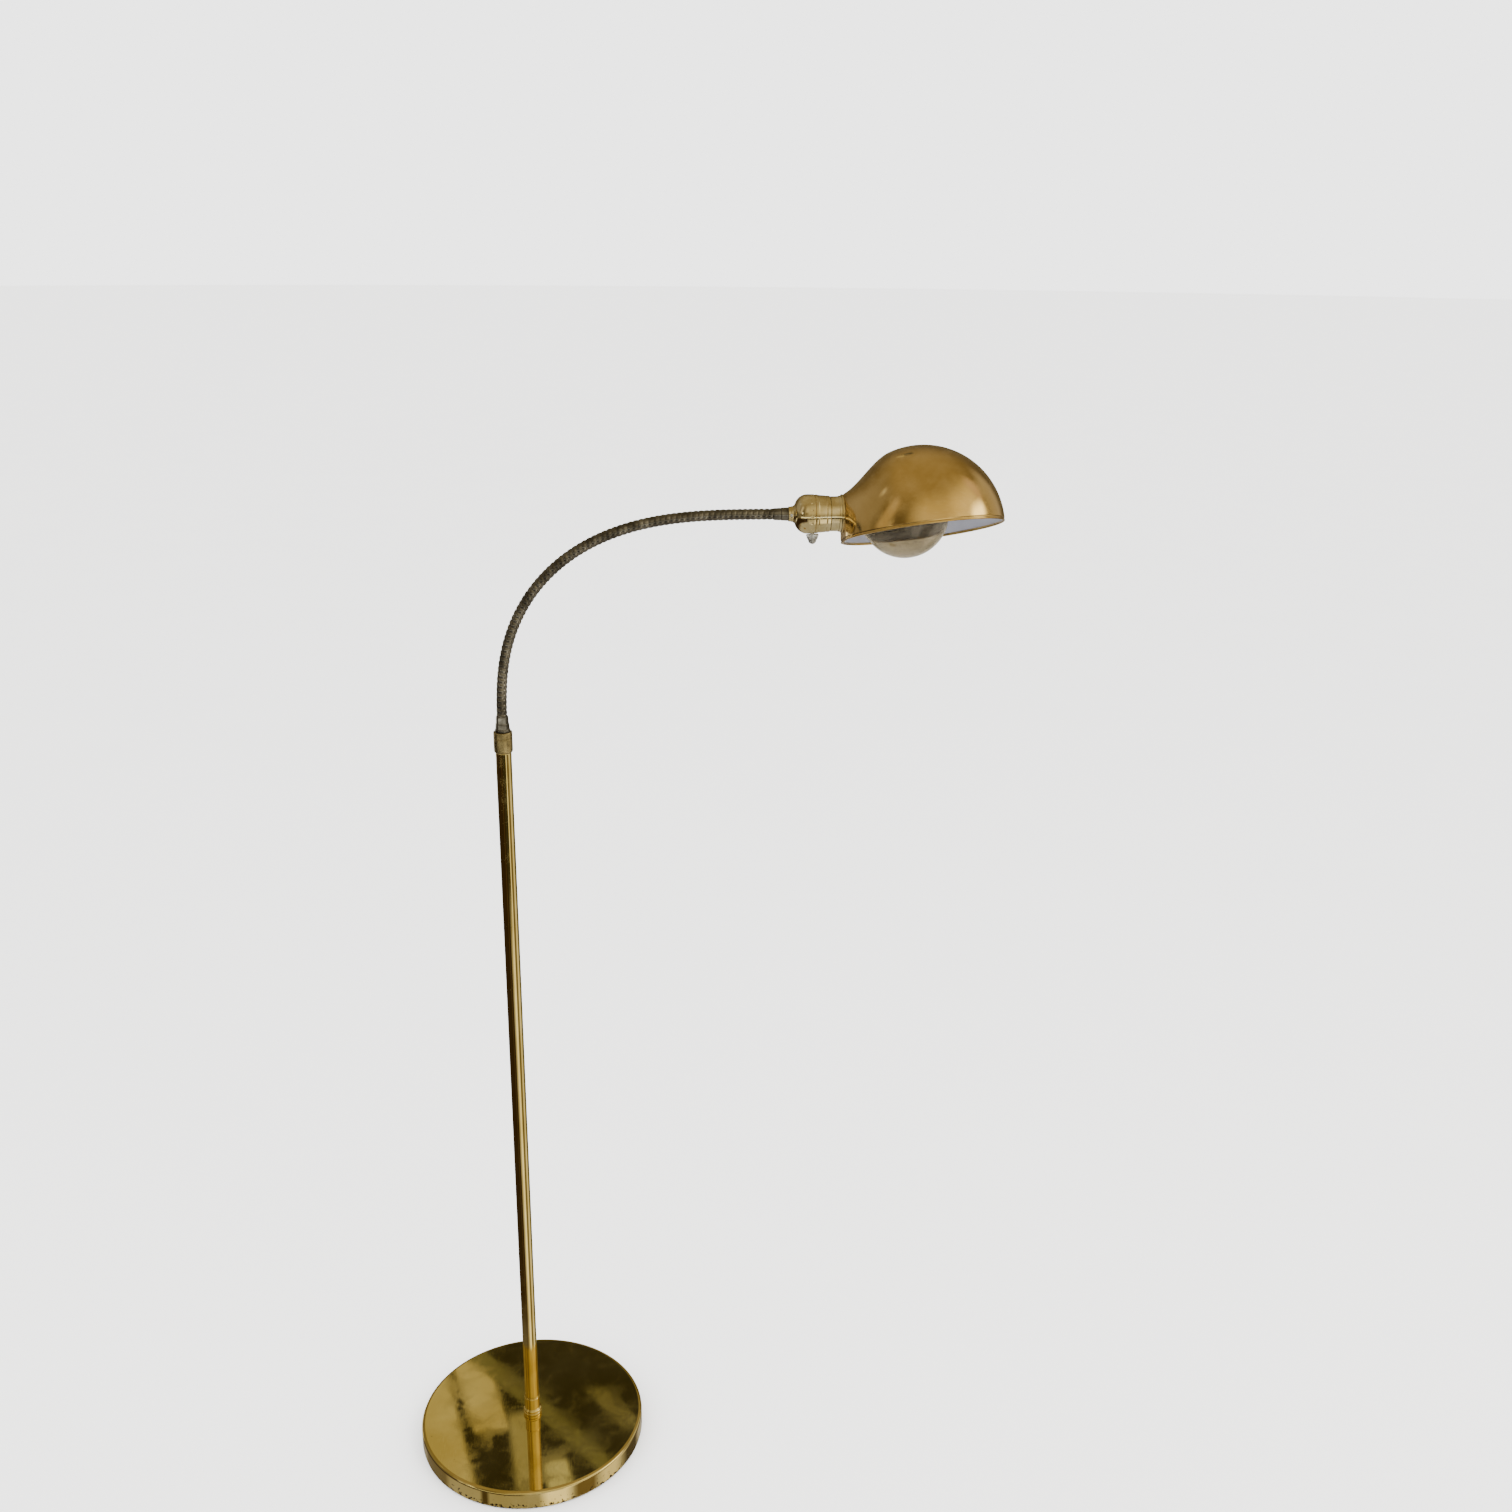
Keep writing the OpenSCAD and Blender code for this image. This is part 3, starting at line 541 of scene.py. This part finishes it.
NECK_PITCH = 5.3 * MM
NECK_GROOVE = 0.95 * MM
NECK_SIDES = 40
NECK_RING_STEP = 0.44 * MM
NECK_TURN = radians(90)          # from the pole to the socket
NECK_PLACES = 12                 # places at which the CAD neck turns, a hinge at every odd one
BEND_RISE, BEND_FADE = 0.7, 1.4  # how the bending is shared out: most of it before the middle


def neck_places(start, length):
    """Points at which the neck's directions change, with its two ends, from pole to socket."""
    shares = [((k + 0.5) / NECK_PLACES) ** BEND_RISE * (1 - (k + 0.5) / NECK_PLACES) ** BEND_FADE
              for k in range(NECK_PLACES)]
    points, heading = [start], 0.0
    for k in range(NECK_PLACES + 1):
        step = length / NECK_PLACES * (0.5 if k in (0, NECK_PLACES) else 1)
        points.append(points[-1] + Vector((sin(heading), 0, cos(heading))) * step)
        if k < NECK_PLACES:
            heading += NECK_TURN * shares[k] / sum(shares)
    return points


def neck_route(places, steps=24):
    """Smooth curve through the middles between places, as many short steps."""
    middles = [(a + b) / 2 for a, b in zip(places[1:-1], places[2:-1])]
    knots = [places[0], *middles, places[-1]]
    route = []
    for start, control, end in zip(knots, places[1:-1], knots[1:]):
        for step in range(steps):
            t = step / steps
            route.append(start * (1 - t) ** 2 + control * 2 * t * (1 - t) + end * t * t)
    return route + [places[-1]]


def ridge(phase):
    """Depth below the neck's surface at a phase of its winding: round wire, narrow grooves."""
    offset = abs(2 * (phase % 1) - 1)
    return NECK_GROOVE * (1 - sqrt(1 - min(offset, 0.995) ** 2))


class Route:
    """The neck's centre line, measured along its length."""

    def __init__(self, spots):
        self.spots = np.array([tuple(spot) for spot in spots])
        steps = np.linalg.norm(np.diff(self.spots, axis=0), axis=1)
        self.travelled = np.concatenate([[0.0], np.cumsum(steps)])
        self.length = self.travelled[-1]

    def spot(self, distance):
        return Vector([np.interp(distance, self.travelled, self.spots[:, k]) for k in range(3)])

    def turn(self, place):
        """Distance to the middle of the turn at a place."""
        per_place = (len(self.spots) - 1) // NECK_PLACES
        return self.travelled[int((place - 0.5) * per_place)]


def neck_piece(name, route, first, last, radius):
    """A length of hose between two distances along the route."""
    rings = round((last - first) / NECK_RING_STEP)
    verts, faces = [], []
    for ring in range(rings + 1):
        distance = first + (last - first) * ring / rings
        forward = 1 if ring < rings else -1
        middle = route.spot(distance)
        along = (route.spot(distance + forward * NECK_RING_STEP) - middle).normalized() * forward
        outward = along.cross(Y)
        for side in range(NECK_SIDES):
            angle = tau * side / NECK_SIDES
            phase = distance / NECK_PITCH + side / NECK_SIDES
            spoke = Y * cos(angle) + outward * sin(angle)
            verts.append(middle + spoke * (radius - ridge(phase)))
        if ring:
            a, b = (ring - 1) * NECK_SIDES, ring * NECK_SIDES
            for side in range(NECK_SIDES):
                n = (side + 1) % NECK_SIDES
                faces.append((a + side, a + n, b + n, b + side))
    mesh = bpy.data.meshes.new(name)
    mesh.from_pydata([tuple(v) for v in verts], [], faces)
    smooth(mesh, 80)
    return mesh


def add_neck():
    """One length of hose for each hinge, reaching over it from the body before into the one after; the
    pieces are put on no body.
    """
    hinges = [joint for joint in frame["joints"] if joint["axis"] == [0, 1, 0]]
    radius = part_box("neck_link_00")[1].y
    start = Vector((0, 0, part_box("neck_link_00")[0].z))
    first_hinge = Vector(hinges[0]["pos_m"])
    length = (first_hinge - start).length * 2 * NECK_PLACES
    route = Route(neck_route(neck_places(start, length)))
    for index, hinge in enumerate(hinges, 1):
        first_end = 0.0 if index == 1 else route.turn(2 * index - 2)
        last_end = route.length if index == len(hinges) else route.turn(2 * index)
        name = f"gooseneck_{index:02d}"
        mesh = neck_piece(name, route, first_end, last_end, radius)
        nodes = [f"neck_link_{2 * index - 1:02d}", f"neck_link_{2 * index:02d}"]
        if index == 1:
            nodes.insert(0, "neck_link_00")
        piece = add_piece(name, mesh, [pewter], None, nodes)
        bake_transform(piece)


def add_ferrules():
    low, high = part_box("neck_ferrule_lower")
    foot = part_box("neck_coupling")[1].z + 0.3 * MM
    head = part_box("neck_link_00")[0].z
    spigot = 3.2 * MM
    bore, stub = 2.3 * MM, 4.9 * MM
    wide, slim = high.x, 6.1 * MM
    outline = rounded([
        (low.z, bore, 0), (low.z, stub, 0.2 * MM), (foot, stub, 0), (foot, wide, 0.4 * MM),
        (foot + 2.2 * MM, wide, 0.4 * MM), (foot + 2.6 * MM, wide - 0.5 * MM, 0.2 * MM),
        (foot + 8.0 * MM, wide - 0.9 * MM, 0.3 * MM), (foot + 8.4 * MM, wide - 1.25 * MM, 0.2 * MM),
        (head, slim, 0.7 * MM), (head, spigot, 0), (high.z, spigot, 0.3 * MM), (high.z, bore, 0)], 6)
    mesh = turned("lower_ferrule", outline, Vector(), Z, 96)
    add_piece("lower_ferrule", mesh, [pewter], "neck_foot", ["neck_ferrule_lower"])

    low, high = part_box("neck_ferrule_upper")
    axis_place = Vector((0, 0, (low.z + high.z) / 2))
    start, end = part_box("neck_link_12")[1].x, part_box("socket_cap")[0].x
    slim, wide = 5.75 * MM, high.y
    middle = (start + end) / 2
    outline = rounded([
        (low.x, bore, 0), (low.x, spigot, 0.3 * MM), (start, spigot, 0), (start, slim, 0.6 * MM),
        (middle - 0.5 * MM, slim + 0.3 * MM, 0.3 * MM), (middle, slim - 0.2 * MM, 0.2 * MM),
        (middle + 0.5 * MM, slim + 0.5 * MM, 0.3 * MM), (end, wide, 0.6 * MM),
        (end, stub, 0), (high.x, stub, 0.2 * MM), (high.x, bore, 0)], 6)
    mesh = turned("upper_ferrule", outline, axis_place, X, 96)
    add_piece("upper_ferrule", mesh, [pewter], "head", ["neck_ferrule_upper"])


# ------------------------------------------------------------------ socket

AXIS_PLACE = Vector((0, 0, joints["shade_turn"]["pos_m"][2]))
KEY_PLACE = Vector(joints["switch_turn"]["pos_m"])
DIMPLES = 18
DIMPLE_DEPTH = 0.55 * MM
DIMPLE_R = 1.1 * MM


def arc(middle_along, middle_radius, radius, first, last, steps):
    """Points of an arc; an angle of 0 points outwards from the axis, 90 backwards along it."""
    return [Vector((middle_along - radius * sin(radians(first + (last - first) * k / steps)),
                    middle_radius + radius * cos(radians(first + (last - first) * k / steps))))
            for k in range(steps + 1)]


def add_cap():
    """Domed cap of the socket: a necked end, a round shoulder and a crimped lip."""
    low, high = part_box("socket_cap")
    skin, bore, neck = 0.8 * MM, 5.0 * MM, 7.2 * MM
    radius = high.y
    round_r = 12.4 * MM
    round_at = low.x + 18.5 * MM     # where the shoulder meets the straight rim
    ring = radius - round_r
    crimp = round_at + 3.3 * MM      # where the row of dimples lies
    key_hole_r = 4.4 * MM
    outer = [Vector((low.x, bore)), Vector((low.x, neck - 0.3 * MM)), Vector((low.x + 0.3 * MM, neck)),
             Vector((low.x + 2.2 * MM, neck)), Vector((low.x + 2.9 * MM, neck + 0.3 * MM)),
             Vector((low.x + 3.6 * MM, neck + 0.55 * MM)), Vector((low.x + 4.4 * MM, neck + 0.4 * MM))]
    outer += arc(round_at, ring, round_r, 76, 0, 18)
    lip = high.x
    outer += [Vector((round_at + (lip - 0.9 * MM - round_at) * k / 14, radius)) for k in range(1, 15)]
    outer += [Vector((lip - 0.3 * MM, radius - 0.1 * MM)), Vector((lip, radius - 0.4 * MM))]
    inner = [Vector((lip, radius - skin)), Vector((round_at, radius - skin))]
    inner += arc(round_at, ring, round_r - skin, 0, 76, 10)
    inner += [Vector((low.x + 6.0 * MM, bore + 0.8 * MM)), Vector((low.x + 6.0 * MM, bore))]

    def dimpled(along, here, angle):
        if here < radius - 0.2 * MM:
            return 0.0
        turn = (angle * DIMPLES / tau) % 1 - 0.5
        away = Vector((along - crimp, turn * tau * radius / DIMPLES)).length
        return -DIMPLE_DEPTH * max(0.0, 1 - (away / DIMPLE_R) ** 2) ** 2

    mesh = turned("socket_cap_shell", outer + inner, AXIS_PLACE, X, DIMPLES * 16, dimpled)
    mesh = drill(mesh, KEY_PLACE + Z * 5 * MM, -Z, key_hole_r, 30 * MM)
    add_piece("socket_cap_shell", mesh, [brass_socket], "head", ["socket_cap"])


def add_shell():
    """Socket shell: a rolled bead behind the cap's lip, then a slight taper to the front."""
    low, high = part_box("socket_shell")
    bead_r, skin = high.y, 0.8 * MM
    shaft_hole_r = 2.3 * MM
    radius, front = bead_r - 0.6 * MM, bead_r - 1.5 * MM
    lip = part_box("socket_cap")[1].x
    end = high.x
    outline = rounded([
        (low.x, radius - skin, 0), (low.x, radius, 0.2 * MM), (lip + 0.5 * MM, radius, 0.2 * MM),
        (lip + 0.9 * MM, bead_r, 0.4 * MM), (lip + 3.0 * MM, bead_r, 0.6 * MM),
        (lip + 4.2 * MM, radius + 0.1 * MM, 0.5 * MM), (end - 4.5 * MM, front + 0.45 * MM, 0.6 * MM),
        (end - 4.0 * MM, front + 0.1 * MM, 0.2 * MM), (end - 3.4 * MM, front + 0.4 * MM, 0.2 * MM),
        (end - 0.4 * MM, front + 0.2 * MM, 0.3 * MM), (end, front - 0.4 * MM, 0.3 * MM),
        (end, front - 1.3 * MM, 0), (end - 1.4 * MM, front - skin, 0.3 * MM),
        (lip + 9 * MM, radius - skin, 0)], 6)
    mesh = turned("socket_shell_skin", outline, AXIS_PLACE, X, 160)
    mesh = drill(mesh, KEY_PLACE + Z * 5 * MM, -Z, shaft_hole_r, 30 * MM)
    add_piece("socket_shell_skin", mesh, [brass_socket], "head", ["socket_shell"])


def add_holder():
    """Threaded ring that carries the shade, with its shoulder behind the shade."""
    low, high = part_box("shade_holder")
    shoulder_r, ring_r = high.y, 16.9 * MM
    bore = ring_r - 1.2 * MM
    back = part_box("shade_collar")[0].x
    shoulder = back - 2.0 * MM
    front_wall = 1.4 * MM
    outline = rounded([
        (low.x, bore, 0), (low.x, ring_r - 0.1 * MM, 0.2 * MM), (shoulder - 3.0 * MM, ring_r, 0),
        (shoulder - 2.6 * MM, ring_r + 0.5 * MM, 0.2 * MM),
        (shoulder - 0.6 * MM, ring_r + 0.6 * MM, 0.2 * MM),
        (shoulder, shoulder_r, 0.4 * MM), (shoulder + front_wall, shoulder_r, 0.4 * MM),
        (shoulder + front_wall, ring_r, 0), (high.x, ring_r, 0.2 * MM), (high.x, bore, 0.2 * MM)], 6)
    mesh = turned("holder_ring", outline, AXIS_PLACE, X, 160)
    add_piece("holder_ring", mesh, [brass_socket], "head", ["shade_holder"])


KEY_HALF = 6.3 * MM              # half the key's width below its top
KEY_SHOULDER = 3 * MM            # length over which that width lasts
KEY_TOP_ROUND, KEY_TOP_INSET = 1.2 * MM, 0.5 * MM
KEY_END_R = 3.6 * MM             # length of the round end
KEY_END_HALF = KEY_END_R * 1.1
KEY_MIDDLE_T, KEY_EDGE_T = 5.0 * MM, 1.6 * MM
KEY_TURN = radians(12)
KEY_ROWS = 22
KEY_TOP_ROWS = 0.3               # share of the rows that crowd at the top, the rest at the end
KEY_COLUMNS = [-1, -0.92, -0.6, -0.25, -0.08, 0.08, 0.25, 0.6, 0.92, 1]


def key_half_width(down, length):
    """Half the key's width at a depth below its top."""
    taper_end = length - KEY_END_R
    if down < KEY_SHOULDER:
        width = KEY_HALF - KEY_TOP_INSET * (1 - min(1.0, down / KEY_TOP_ROUND)) ** 2
    elif down < taper_end:
        taper = (down - KEY_SHOULDER) / (taper_end - KEY_SHOULDER)
        width = KEY_HALF + (KEY_END_HALF - KEY_HALF) * taper
    else:
        width = KEY_END_HALF * sqrt(max(0.0, 1 - ((down - taper_end) / KEY_END_R) ** 2))
    return max(width, 0.25 * MM)


def add_key():
    """Thumb key: thick along its middle, thin at its edges, with a round end."""
    low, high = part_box("switch_key")
    length = high.z - low.z
    turn = Matrix.Rotation(KEY_TURN, 3, "Z")
    count = 2 * len(KEY_COLUMNS)
    points, faces = [], []
    for row in range(KEY_ROWS + 1):
        swing = pi / 2 * row / KEY_ROWS
        down = length * (1 - cos(swing) if row < KEY_ROWS * KEY_TOP_ROWS else sin(swing))
        width = key_half_width(down, length)
        thin = 1 - 0.35 * (down / length) ** 2
        if row == KEY_ROWS:
            thin *= 0.3
        for face in (1, -1):
            for column in KEY_COLUMNS[::face]:
                crown = (KEY_MIDDLE_T - KEY_EDGE_T) * (1 - abs(column)) ** 0.9
                spot = turn @ Vector((column * width, face * (KEY_EDGE_T + crown) / 2 * thin, 0))
                points.append(Vector((KEY_PLACE.x, KEY_PLACE.y, high.z - down)) + spot)
        if row:
            a, b = (row - 1) * count, row * count
            for k in range(count):
                n = (k + 1) % count
                faces.append((a + k, a + n, b + n, b + k))
    faces.append(tuple(range(count)))
    faces.append(tuple(range(KEY_ROWS * count, (KEY_ROWS + 1) * count)))
    mesh = make_mesh("thumb_key", points, faces, 30)
    add_piece("thumb_key", mesh, [nickel], "switch", ["switch_key"])


# ------------------------------------------------------------------ shade

# Worked out with the hole's middle at 0, +X to the front, and then rolled and put in place.
DOME_R = 80.4 * MM
DOME_Z = -14.5 * MM
MOUTH_W = 18.8 * MM              # half the width of the flat back
DOME_X = sqrt(DOME_R ** 2 - MOUTH_W ** 2)
THROAT_LEN = 45 * MM
THROAT_SLOPE = 0.5
SHADE_ROLL = radians(17)
RIM_Z = -18.8 * MM
RIM_SLOPE = 0.11
SHADE_T = 1.0 * MM
HOLE_R = 18.3 * MM
RIM_BEAD = 1.0 * MM              # radius of the rolled rim
RIM_GROOVE = 0.5 * MM            # depth of the groove above it
SHADE_COLS = 240
SHADE_ROWS = 84
EYE = np.array([DOME_X, 0.0, -25 * MM])     # point inside, from which the skin is swept


def half_width(x, inset):
    """Half the dome's width at x, for a skin that lies inset below the outer one."""
    return np.sqrt(np.maximum(1e-12, (DOME_R - inset) ** 2 - (x - DOME_X) ** 2))


def shade_top(x, inset):
    """Upper edge of the shade: a cubic from the socket to the dome, then the dome itself."""
    u = np.clip(x / THROAT_LEN, 0, 1)
    join = DOME_Z + half_width(THROAT_LEN, inset)
    rise = (DOME_X - THROAT_LEN) / half_width(THROAT_LEN, inset)
    throat = ((2 * u ** 3 - 3 * u ** 2 + 1) * (MOUTH_W - inset * sqrt(1 + THROAT_SLOPE ** 2))
              + (u ** 3 - 2 * u ** 2 + u) * THROAT_LEN * THROAT_SLOPE
              + (3 * u ** 2 - 2 * u ** 3) * join + (u ** 3 - u ** 2) * THROAT_LEN * rise)
    return np.where(x < THROAT_LEN, throat, DOME_Z + half_width(x, inset))


def outside_skin(points, inset):
    """Positive outside the skin: an arch with straight sides, cut by the flat back."""
    x, y, z = points.T
    width = half_width(x, inset)
    arch = shade_top(x, inset) - width
    side = np.where(z > arch, np.hypot(y, z - arch), np.abs(y)) - width
    return np.maximum(side, inset - x)


def halve(test, low, high, turns=34):
    """Where a test changes from false to true between two arrays of values."""
    for _ in range(turns):
        middle = (low + high) / 2
        past = test(middle)
        high = np.where(past, middle, high)
        low = np.where(past, low, middle)
    return (low + high) / 2


def skin_point(turn, tilt, inset):
    """Points of the skin seen from EYE, at turns about the line to the hole and tilts from it."""
    aim = -EYE / np.linalg.norm(EYE)
    upward = np.array([aim[2], 0.0, -aim[0]])
    across = np.array([0.0, 1.0, 0.0])
    way = (np.cos(tilt)[:, None] * aim
           + np.sin(tilt)[:, None] * (np.cos(turn)[:, None] * upward + np.sin(turn)[:, None] * across))
    reach = halve(lambda r: outside_skin(EYE + way * r[:, None], inset) > 0,
                  np.zeros(len(turn)), np.full(len(turn), 2.2 * DOME_R))
    return EYE + way * reach[:, None]


def skin_loop(inset, height):
    """Tilts at which the skin passes a plane above the rim, and the points there."""
    turn = np.linspace(0, tau, SHADE_COLS, endpoint=False)
    whole = np.ones(SHADE_COLS)

    def below(tilt):
        spot = skin_point(turn, tilt, inset)
        return spot[:, 2] < RIM_Z + height + RIM_SLOPE * (spot[:, 0] - DOME_X)

    tilt = halve(below, whole * radians(12), whole * radians(179))
    return tilt, skin_point(turn, tilt, inset)


def skin_rows(inset, height):
    """Rows of points from the hole to a plane above the rim, one point for each turn."""
    turn = np.linspace(0, tau, SHADE_COLS, endpoint=False)
    whole = np.ones(SHADE_COLS)

    def past_hole(tilt):
        spot = skin_point(turn, tilt, inset)
        return np.hypot(spot[:, 1], spot[:, 2]) > HOLE_R

    first = halve(past_hole, whole * radians(1), whole * radians(40))
    last = skin_loop(inset, height)[0]
    return [skin_point(turn, first + (last - first) * row / SHADE_ROWS, inset)
            for row in range(SHADE_ROWS + 1)]


def add_shade():
    """Half-dome with a rolled rim: brass outside, white enamel inside, its enamel coloured grey as
    painted shade.
    """
    outer = skin_rows(0.0, RIM_BEAD * 3.4)
    inner = skin_rows(SHADE_T, RIM_BEAD * 2.8)
    groove = [skin_loop(RIM_GROOVE * depth, RIM_BEAD * height)[1]
              for depth, height in ((0.15, 3.1), (0.8, 2.7), (1.0, 2.3))]
    middle = skin_loop(RIM_BEAD, RIM_BEAD)[1]
    outward = skin_loop(0.0, RIM_BEAD)[1] - middle
    outward /= np.linalg.norm(outward, axis=1)[:, None]
    down = np.array([RIM_SLOPE, 0, -1]) / sqrt(1 + RIM_SLOPE ** 2)
    bead = [middle + RIM_BEAD * (outward * cos(angle) + down * sin(angle))
            for angle in np.linspace(radians(-50), radians(225), 14)]
    brass_loops = outer + groove + bead
    loops = brass_loops + inner[::-1]
    place = (Matrix.Translation(Vector((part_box("shade")[0].x, 0, AXIS_PLACE.z)))
             @ Matrix.Rotation(-SHADE_ROLL, 4, "X"))
    points = [place @ Vector(spot) for loop in loops for spot in loop]
    faces, slots = [], []
    count = len(loops)
    for row in range(count):
        a, b = row * SHADE_COLS, (row + 1) % count * SHADE_COLS
        for col in range(SHADE_COLS):
            n = (col + 1) % SHADE_COLS
            faces.append((a + col, b + col, b + n, a + n))
            slots.append(1 if len(brass_loops) <= row < count - 1 else 0)
    mesh = bpy.data.meshes.new("shade_shell")
    mesh.from_pydata([tuple(p) for p in points], [], faces)
    smooth(mesh, 50)
    piece = add_piece(
        "shade_shell", mesh, [brass_shade, enamel], "shade_unit", ["shade"])
    piece.data.polygons.foreach_set("material_index", slots)


# ------------------------------------------------------------------ bulb

def add_bulb():
    low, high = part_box("bulb_glass")
    radius = high.y
    middle = high.x - radius
    wall, hollow = 0.8 * MM, 1.6 * MM    # hollow: how far the sides curve in below the ball
    ball_angles = [radians(degrees) for degrees in np.linspace(133, 0, 60)]
    neck_r, base_r = 14.0 * MM, 12.7 * MM
    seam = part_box("bulb_cap")[1].x + 0.2 * MM
    neck_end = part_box("shade")[0].x + 12 * MM

    def skin(inset):
        size = radius - inset
        ball = [Vector((middle + size * cos(angle), size * sin(angle))) for angle in ball_angles]
        foot = [Vector((low.x, base_r - inset)), Vector((seam, base_r - inset)),
                Vector((seam + 1.5 * MM, neck_r - inset)), Vector((neck_end, neck_r - inset))]
        sweep = [foot[-1].lerp(ball[0], t) - Vector((0, hollow * sin(pi * t)))
                 for t in (0.2, 0.4, 0.6, 0.8)]
        return foot + sweep + ball

    mesh = turned("bulb_globe", skin(0) + skin(wall)[::-1], AXIS_PLACE, X, 160)
    add_piece("bulb_globe", mesh, [smoked_glass], "bulb", ["bulb_glass"])

    stem_low, stem_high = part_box("bulb_stem")
    stem_r = stem_high.y
    outline = rounded([
        (stem_low.x, 0, 0), (stem_low.x, stem_r, 0.5 * MM),
        (stem_low.x + 2 * MM, stem_r - 1.5 * MM, 1.5 * MM),
        (seam + 12 * MM, 4.2 * MM, 3 * MM), (middle - 22 * MM, 3.2 * MM, 2 * MM),
        (middle - 8 * MM, 1.6 * MM, 2 * MM), (middle + 11 * MM, 1.5 * MM, 1 * MM),
        (stem_high.x - 1.5 * MM, 2.4 * MM, 1 * MM), (stem_high.x, 0, 0)], 8)
    mesh = turned("glass_stem", outline, AXIS_PLACE, X, 48)
    add_piece("glass_stem", mesh, [stem_glass], "bulb", ["bulb_stem"])


def add_bulb_thread():
    """Rolled screw thread of the bulb's metal cap."""
    low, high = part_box("bulb_cap")
    pitch, depth, skin = 3.6 * MM, 0.5 * MM, 0.3 * MM
    hole_r, shoulder_r = 3.6 * MM, 6.0 * MM
    radius = high.y - 0.55 * MM          # middle of the thread
    inside = high.y - 1.5 * MM
    start, end = low.x + 4.5 * MM, high.x
    steps = 60
    outer = [Vector((low.x, hole_r)), Vector((low.x, shoulder_r)),
             Vector((start - 0.4 * MM, high.y - 0.9 * MM))]
    outer += [Vector((start + (end - start) * k / steps, radius)) for k in range(steps + 1)]
    inner = [Vector((end, inside)), Vector((start + 1 * MM, inside)), Vector((low.x + skin, hole_r))]

    def thread(along, here, angle):
        if abs(here - radius) > 0.01 * MM:
            return 0.0
        fade = min(1.0, (end - along) / (2 * MM), (along - start) / (1 * MM))
        return depth * sin(tau * (along / pitch + angle / tau)) * max(0.0, fade)

    mesh = turned("bulb_thread", outer + inner, AXIS_PLACE, X, 96, thread)
    add_piece("bulb_thread", mesh, [bulb_metal], "bulb", ["bulb_cap"])


def add_filament():
    """Squirrel cage: a coiled wire strung up and down round the stem, on two support rings."""
    low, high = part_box("bulb_filament")
    cage = high.y - 0.6 * MM
    strands, steps, turns_per_m = 8, 240, 900
    wire, coil = 0.13 * MM, 0.42 * MM
    ring_wire, spoke_wire = 0.22 * MM, 0.18 * MM
    sides, ring_steps = 6, 64
    points, faces = [], []

    def tube(route, radius):
        start = len(points)
        for k, spot in enumerate(route):
            before, after = route[max(0, k - 1)], route[min(len(route) - 1, k + 1)]
            along = (after - before).normalized()
            side = along.cross(Vector((0.3, 0.5, 0.8))).normalized()
            other = along.cross(side)
            for s in range(sides):
                angle = tau * s / sides
                points.append(spot + (side * cos(angle) + other * sin(angle)) * radius)
            if k:
                a, b = start + (k - 1) * sides, start + k * sides
                for s in range(sides):
                    faces.append((a + s, a + (s + 1) % sides, b + (s + 1) % sides, b + s))
        faces.append(tuple(range(start, start + sides)))
        faces.append(tuple(range(len(points) - sides, len(points))))

    first, last = low.x + 0.4 * MM, high.x - 0.4 * MM
    for strand in range(strands):
        angle = tau * strand / strands
        spoke = Z * cos(angle) + Y * sin(angle)
        tangent = X.cross(spoke)
        route = []
        for k in range(steps + 1):
            along = first + (last - first) * k / steps
            twist = tau * turns_per_m * (along - first)
            route.append(AXIS_PLACE + X * along + spoke * (cage + coil * cos(twist))
                         + tangent * coil * sin(twist))
        tube(route, wire)
    for end in (first, last):
        ring_angles = [tau * k / ring_steps for k in range(ring_steps + 1)]
        ring = [AXIS_PLACE + X * end + (Z * cos(angle) + Y * sin(angle)) * cage for angle in ring_angles]
        tube(ring, ring_wire)
        for k in range(4):
            angle = tau * k / 4
            spoke = Z * cos(angle) + Y * sin(angle)
            tube([AXIS_PLACE + X * end + spoke * r for r in (1.2 * MM, cage / 2, cage)], spoke_wire)
    mesh = bpy.data.meshes.new("filament_cage")
    mesh.from_pydata([tuple(p) for p in points], [], faces)
    smooth(mesh, 60)
    add_piece("filament_cage", mesh, [tungsten], "bulb", ["bulb_filament"])


# ------------------------------------------------------------------ floor

def add_floor():
    """A wide round floor, whose rings grow wider outwards."""
    rings, sides, reach = 12, 96, 40.0
    points = [Vector((0, 0, 0))]
    faces = []
    for ring in range(1, rings + 1):
        radius = reach * (ring / rings) ** 2
        for side in range(sides):
            angle = tau * side / sides
            points.append(Vector((radius * cos(angle), radius * sin(angle), 0)))
    for side in range(sides):
        n = (side + 1) % sides
        faces.append((0, 1 + side, 1 + n))
        for ring in range(rings - 1):
            a, b = 1 + ring * sides, 1 + (ring + 1) * sides
            faces.append((a + side, b + side, b + n, a + n))
    mesh = make_mesh("floor", points, faces)
    mesh.materials.append(floor_material())
    floor = bpy.data.objects.new("floor", mesh)
    bpy.context.scene.collection.objects.link(floor)
    floor.visible_glossy = False


add_camera()
add_world()
add_lamp("key_light", (1.7, -1.5, 2.3), (0.15, 0, 0.7), 1.4, 42, (1.0, 0.96, 0.90))
add_lamp("fill_light", (-1.8, -0.9, 1.6), (0.1, 0, 0.6), 1.2, 14, (0.94, 0.97, 1.0))
add_floor()
dress_carried_nodes()
add_base_cover()
add_pole()
add_collar()
add_coupling()
add_neck()
add_ferrules()
add_cap()
add_shell()
add_holder()
add_key()
add_shade()
add_bulb()
add_bulb_thread()
add_filament()
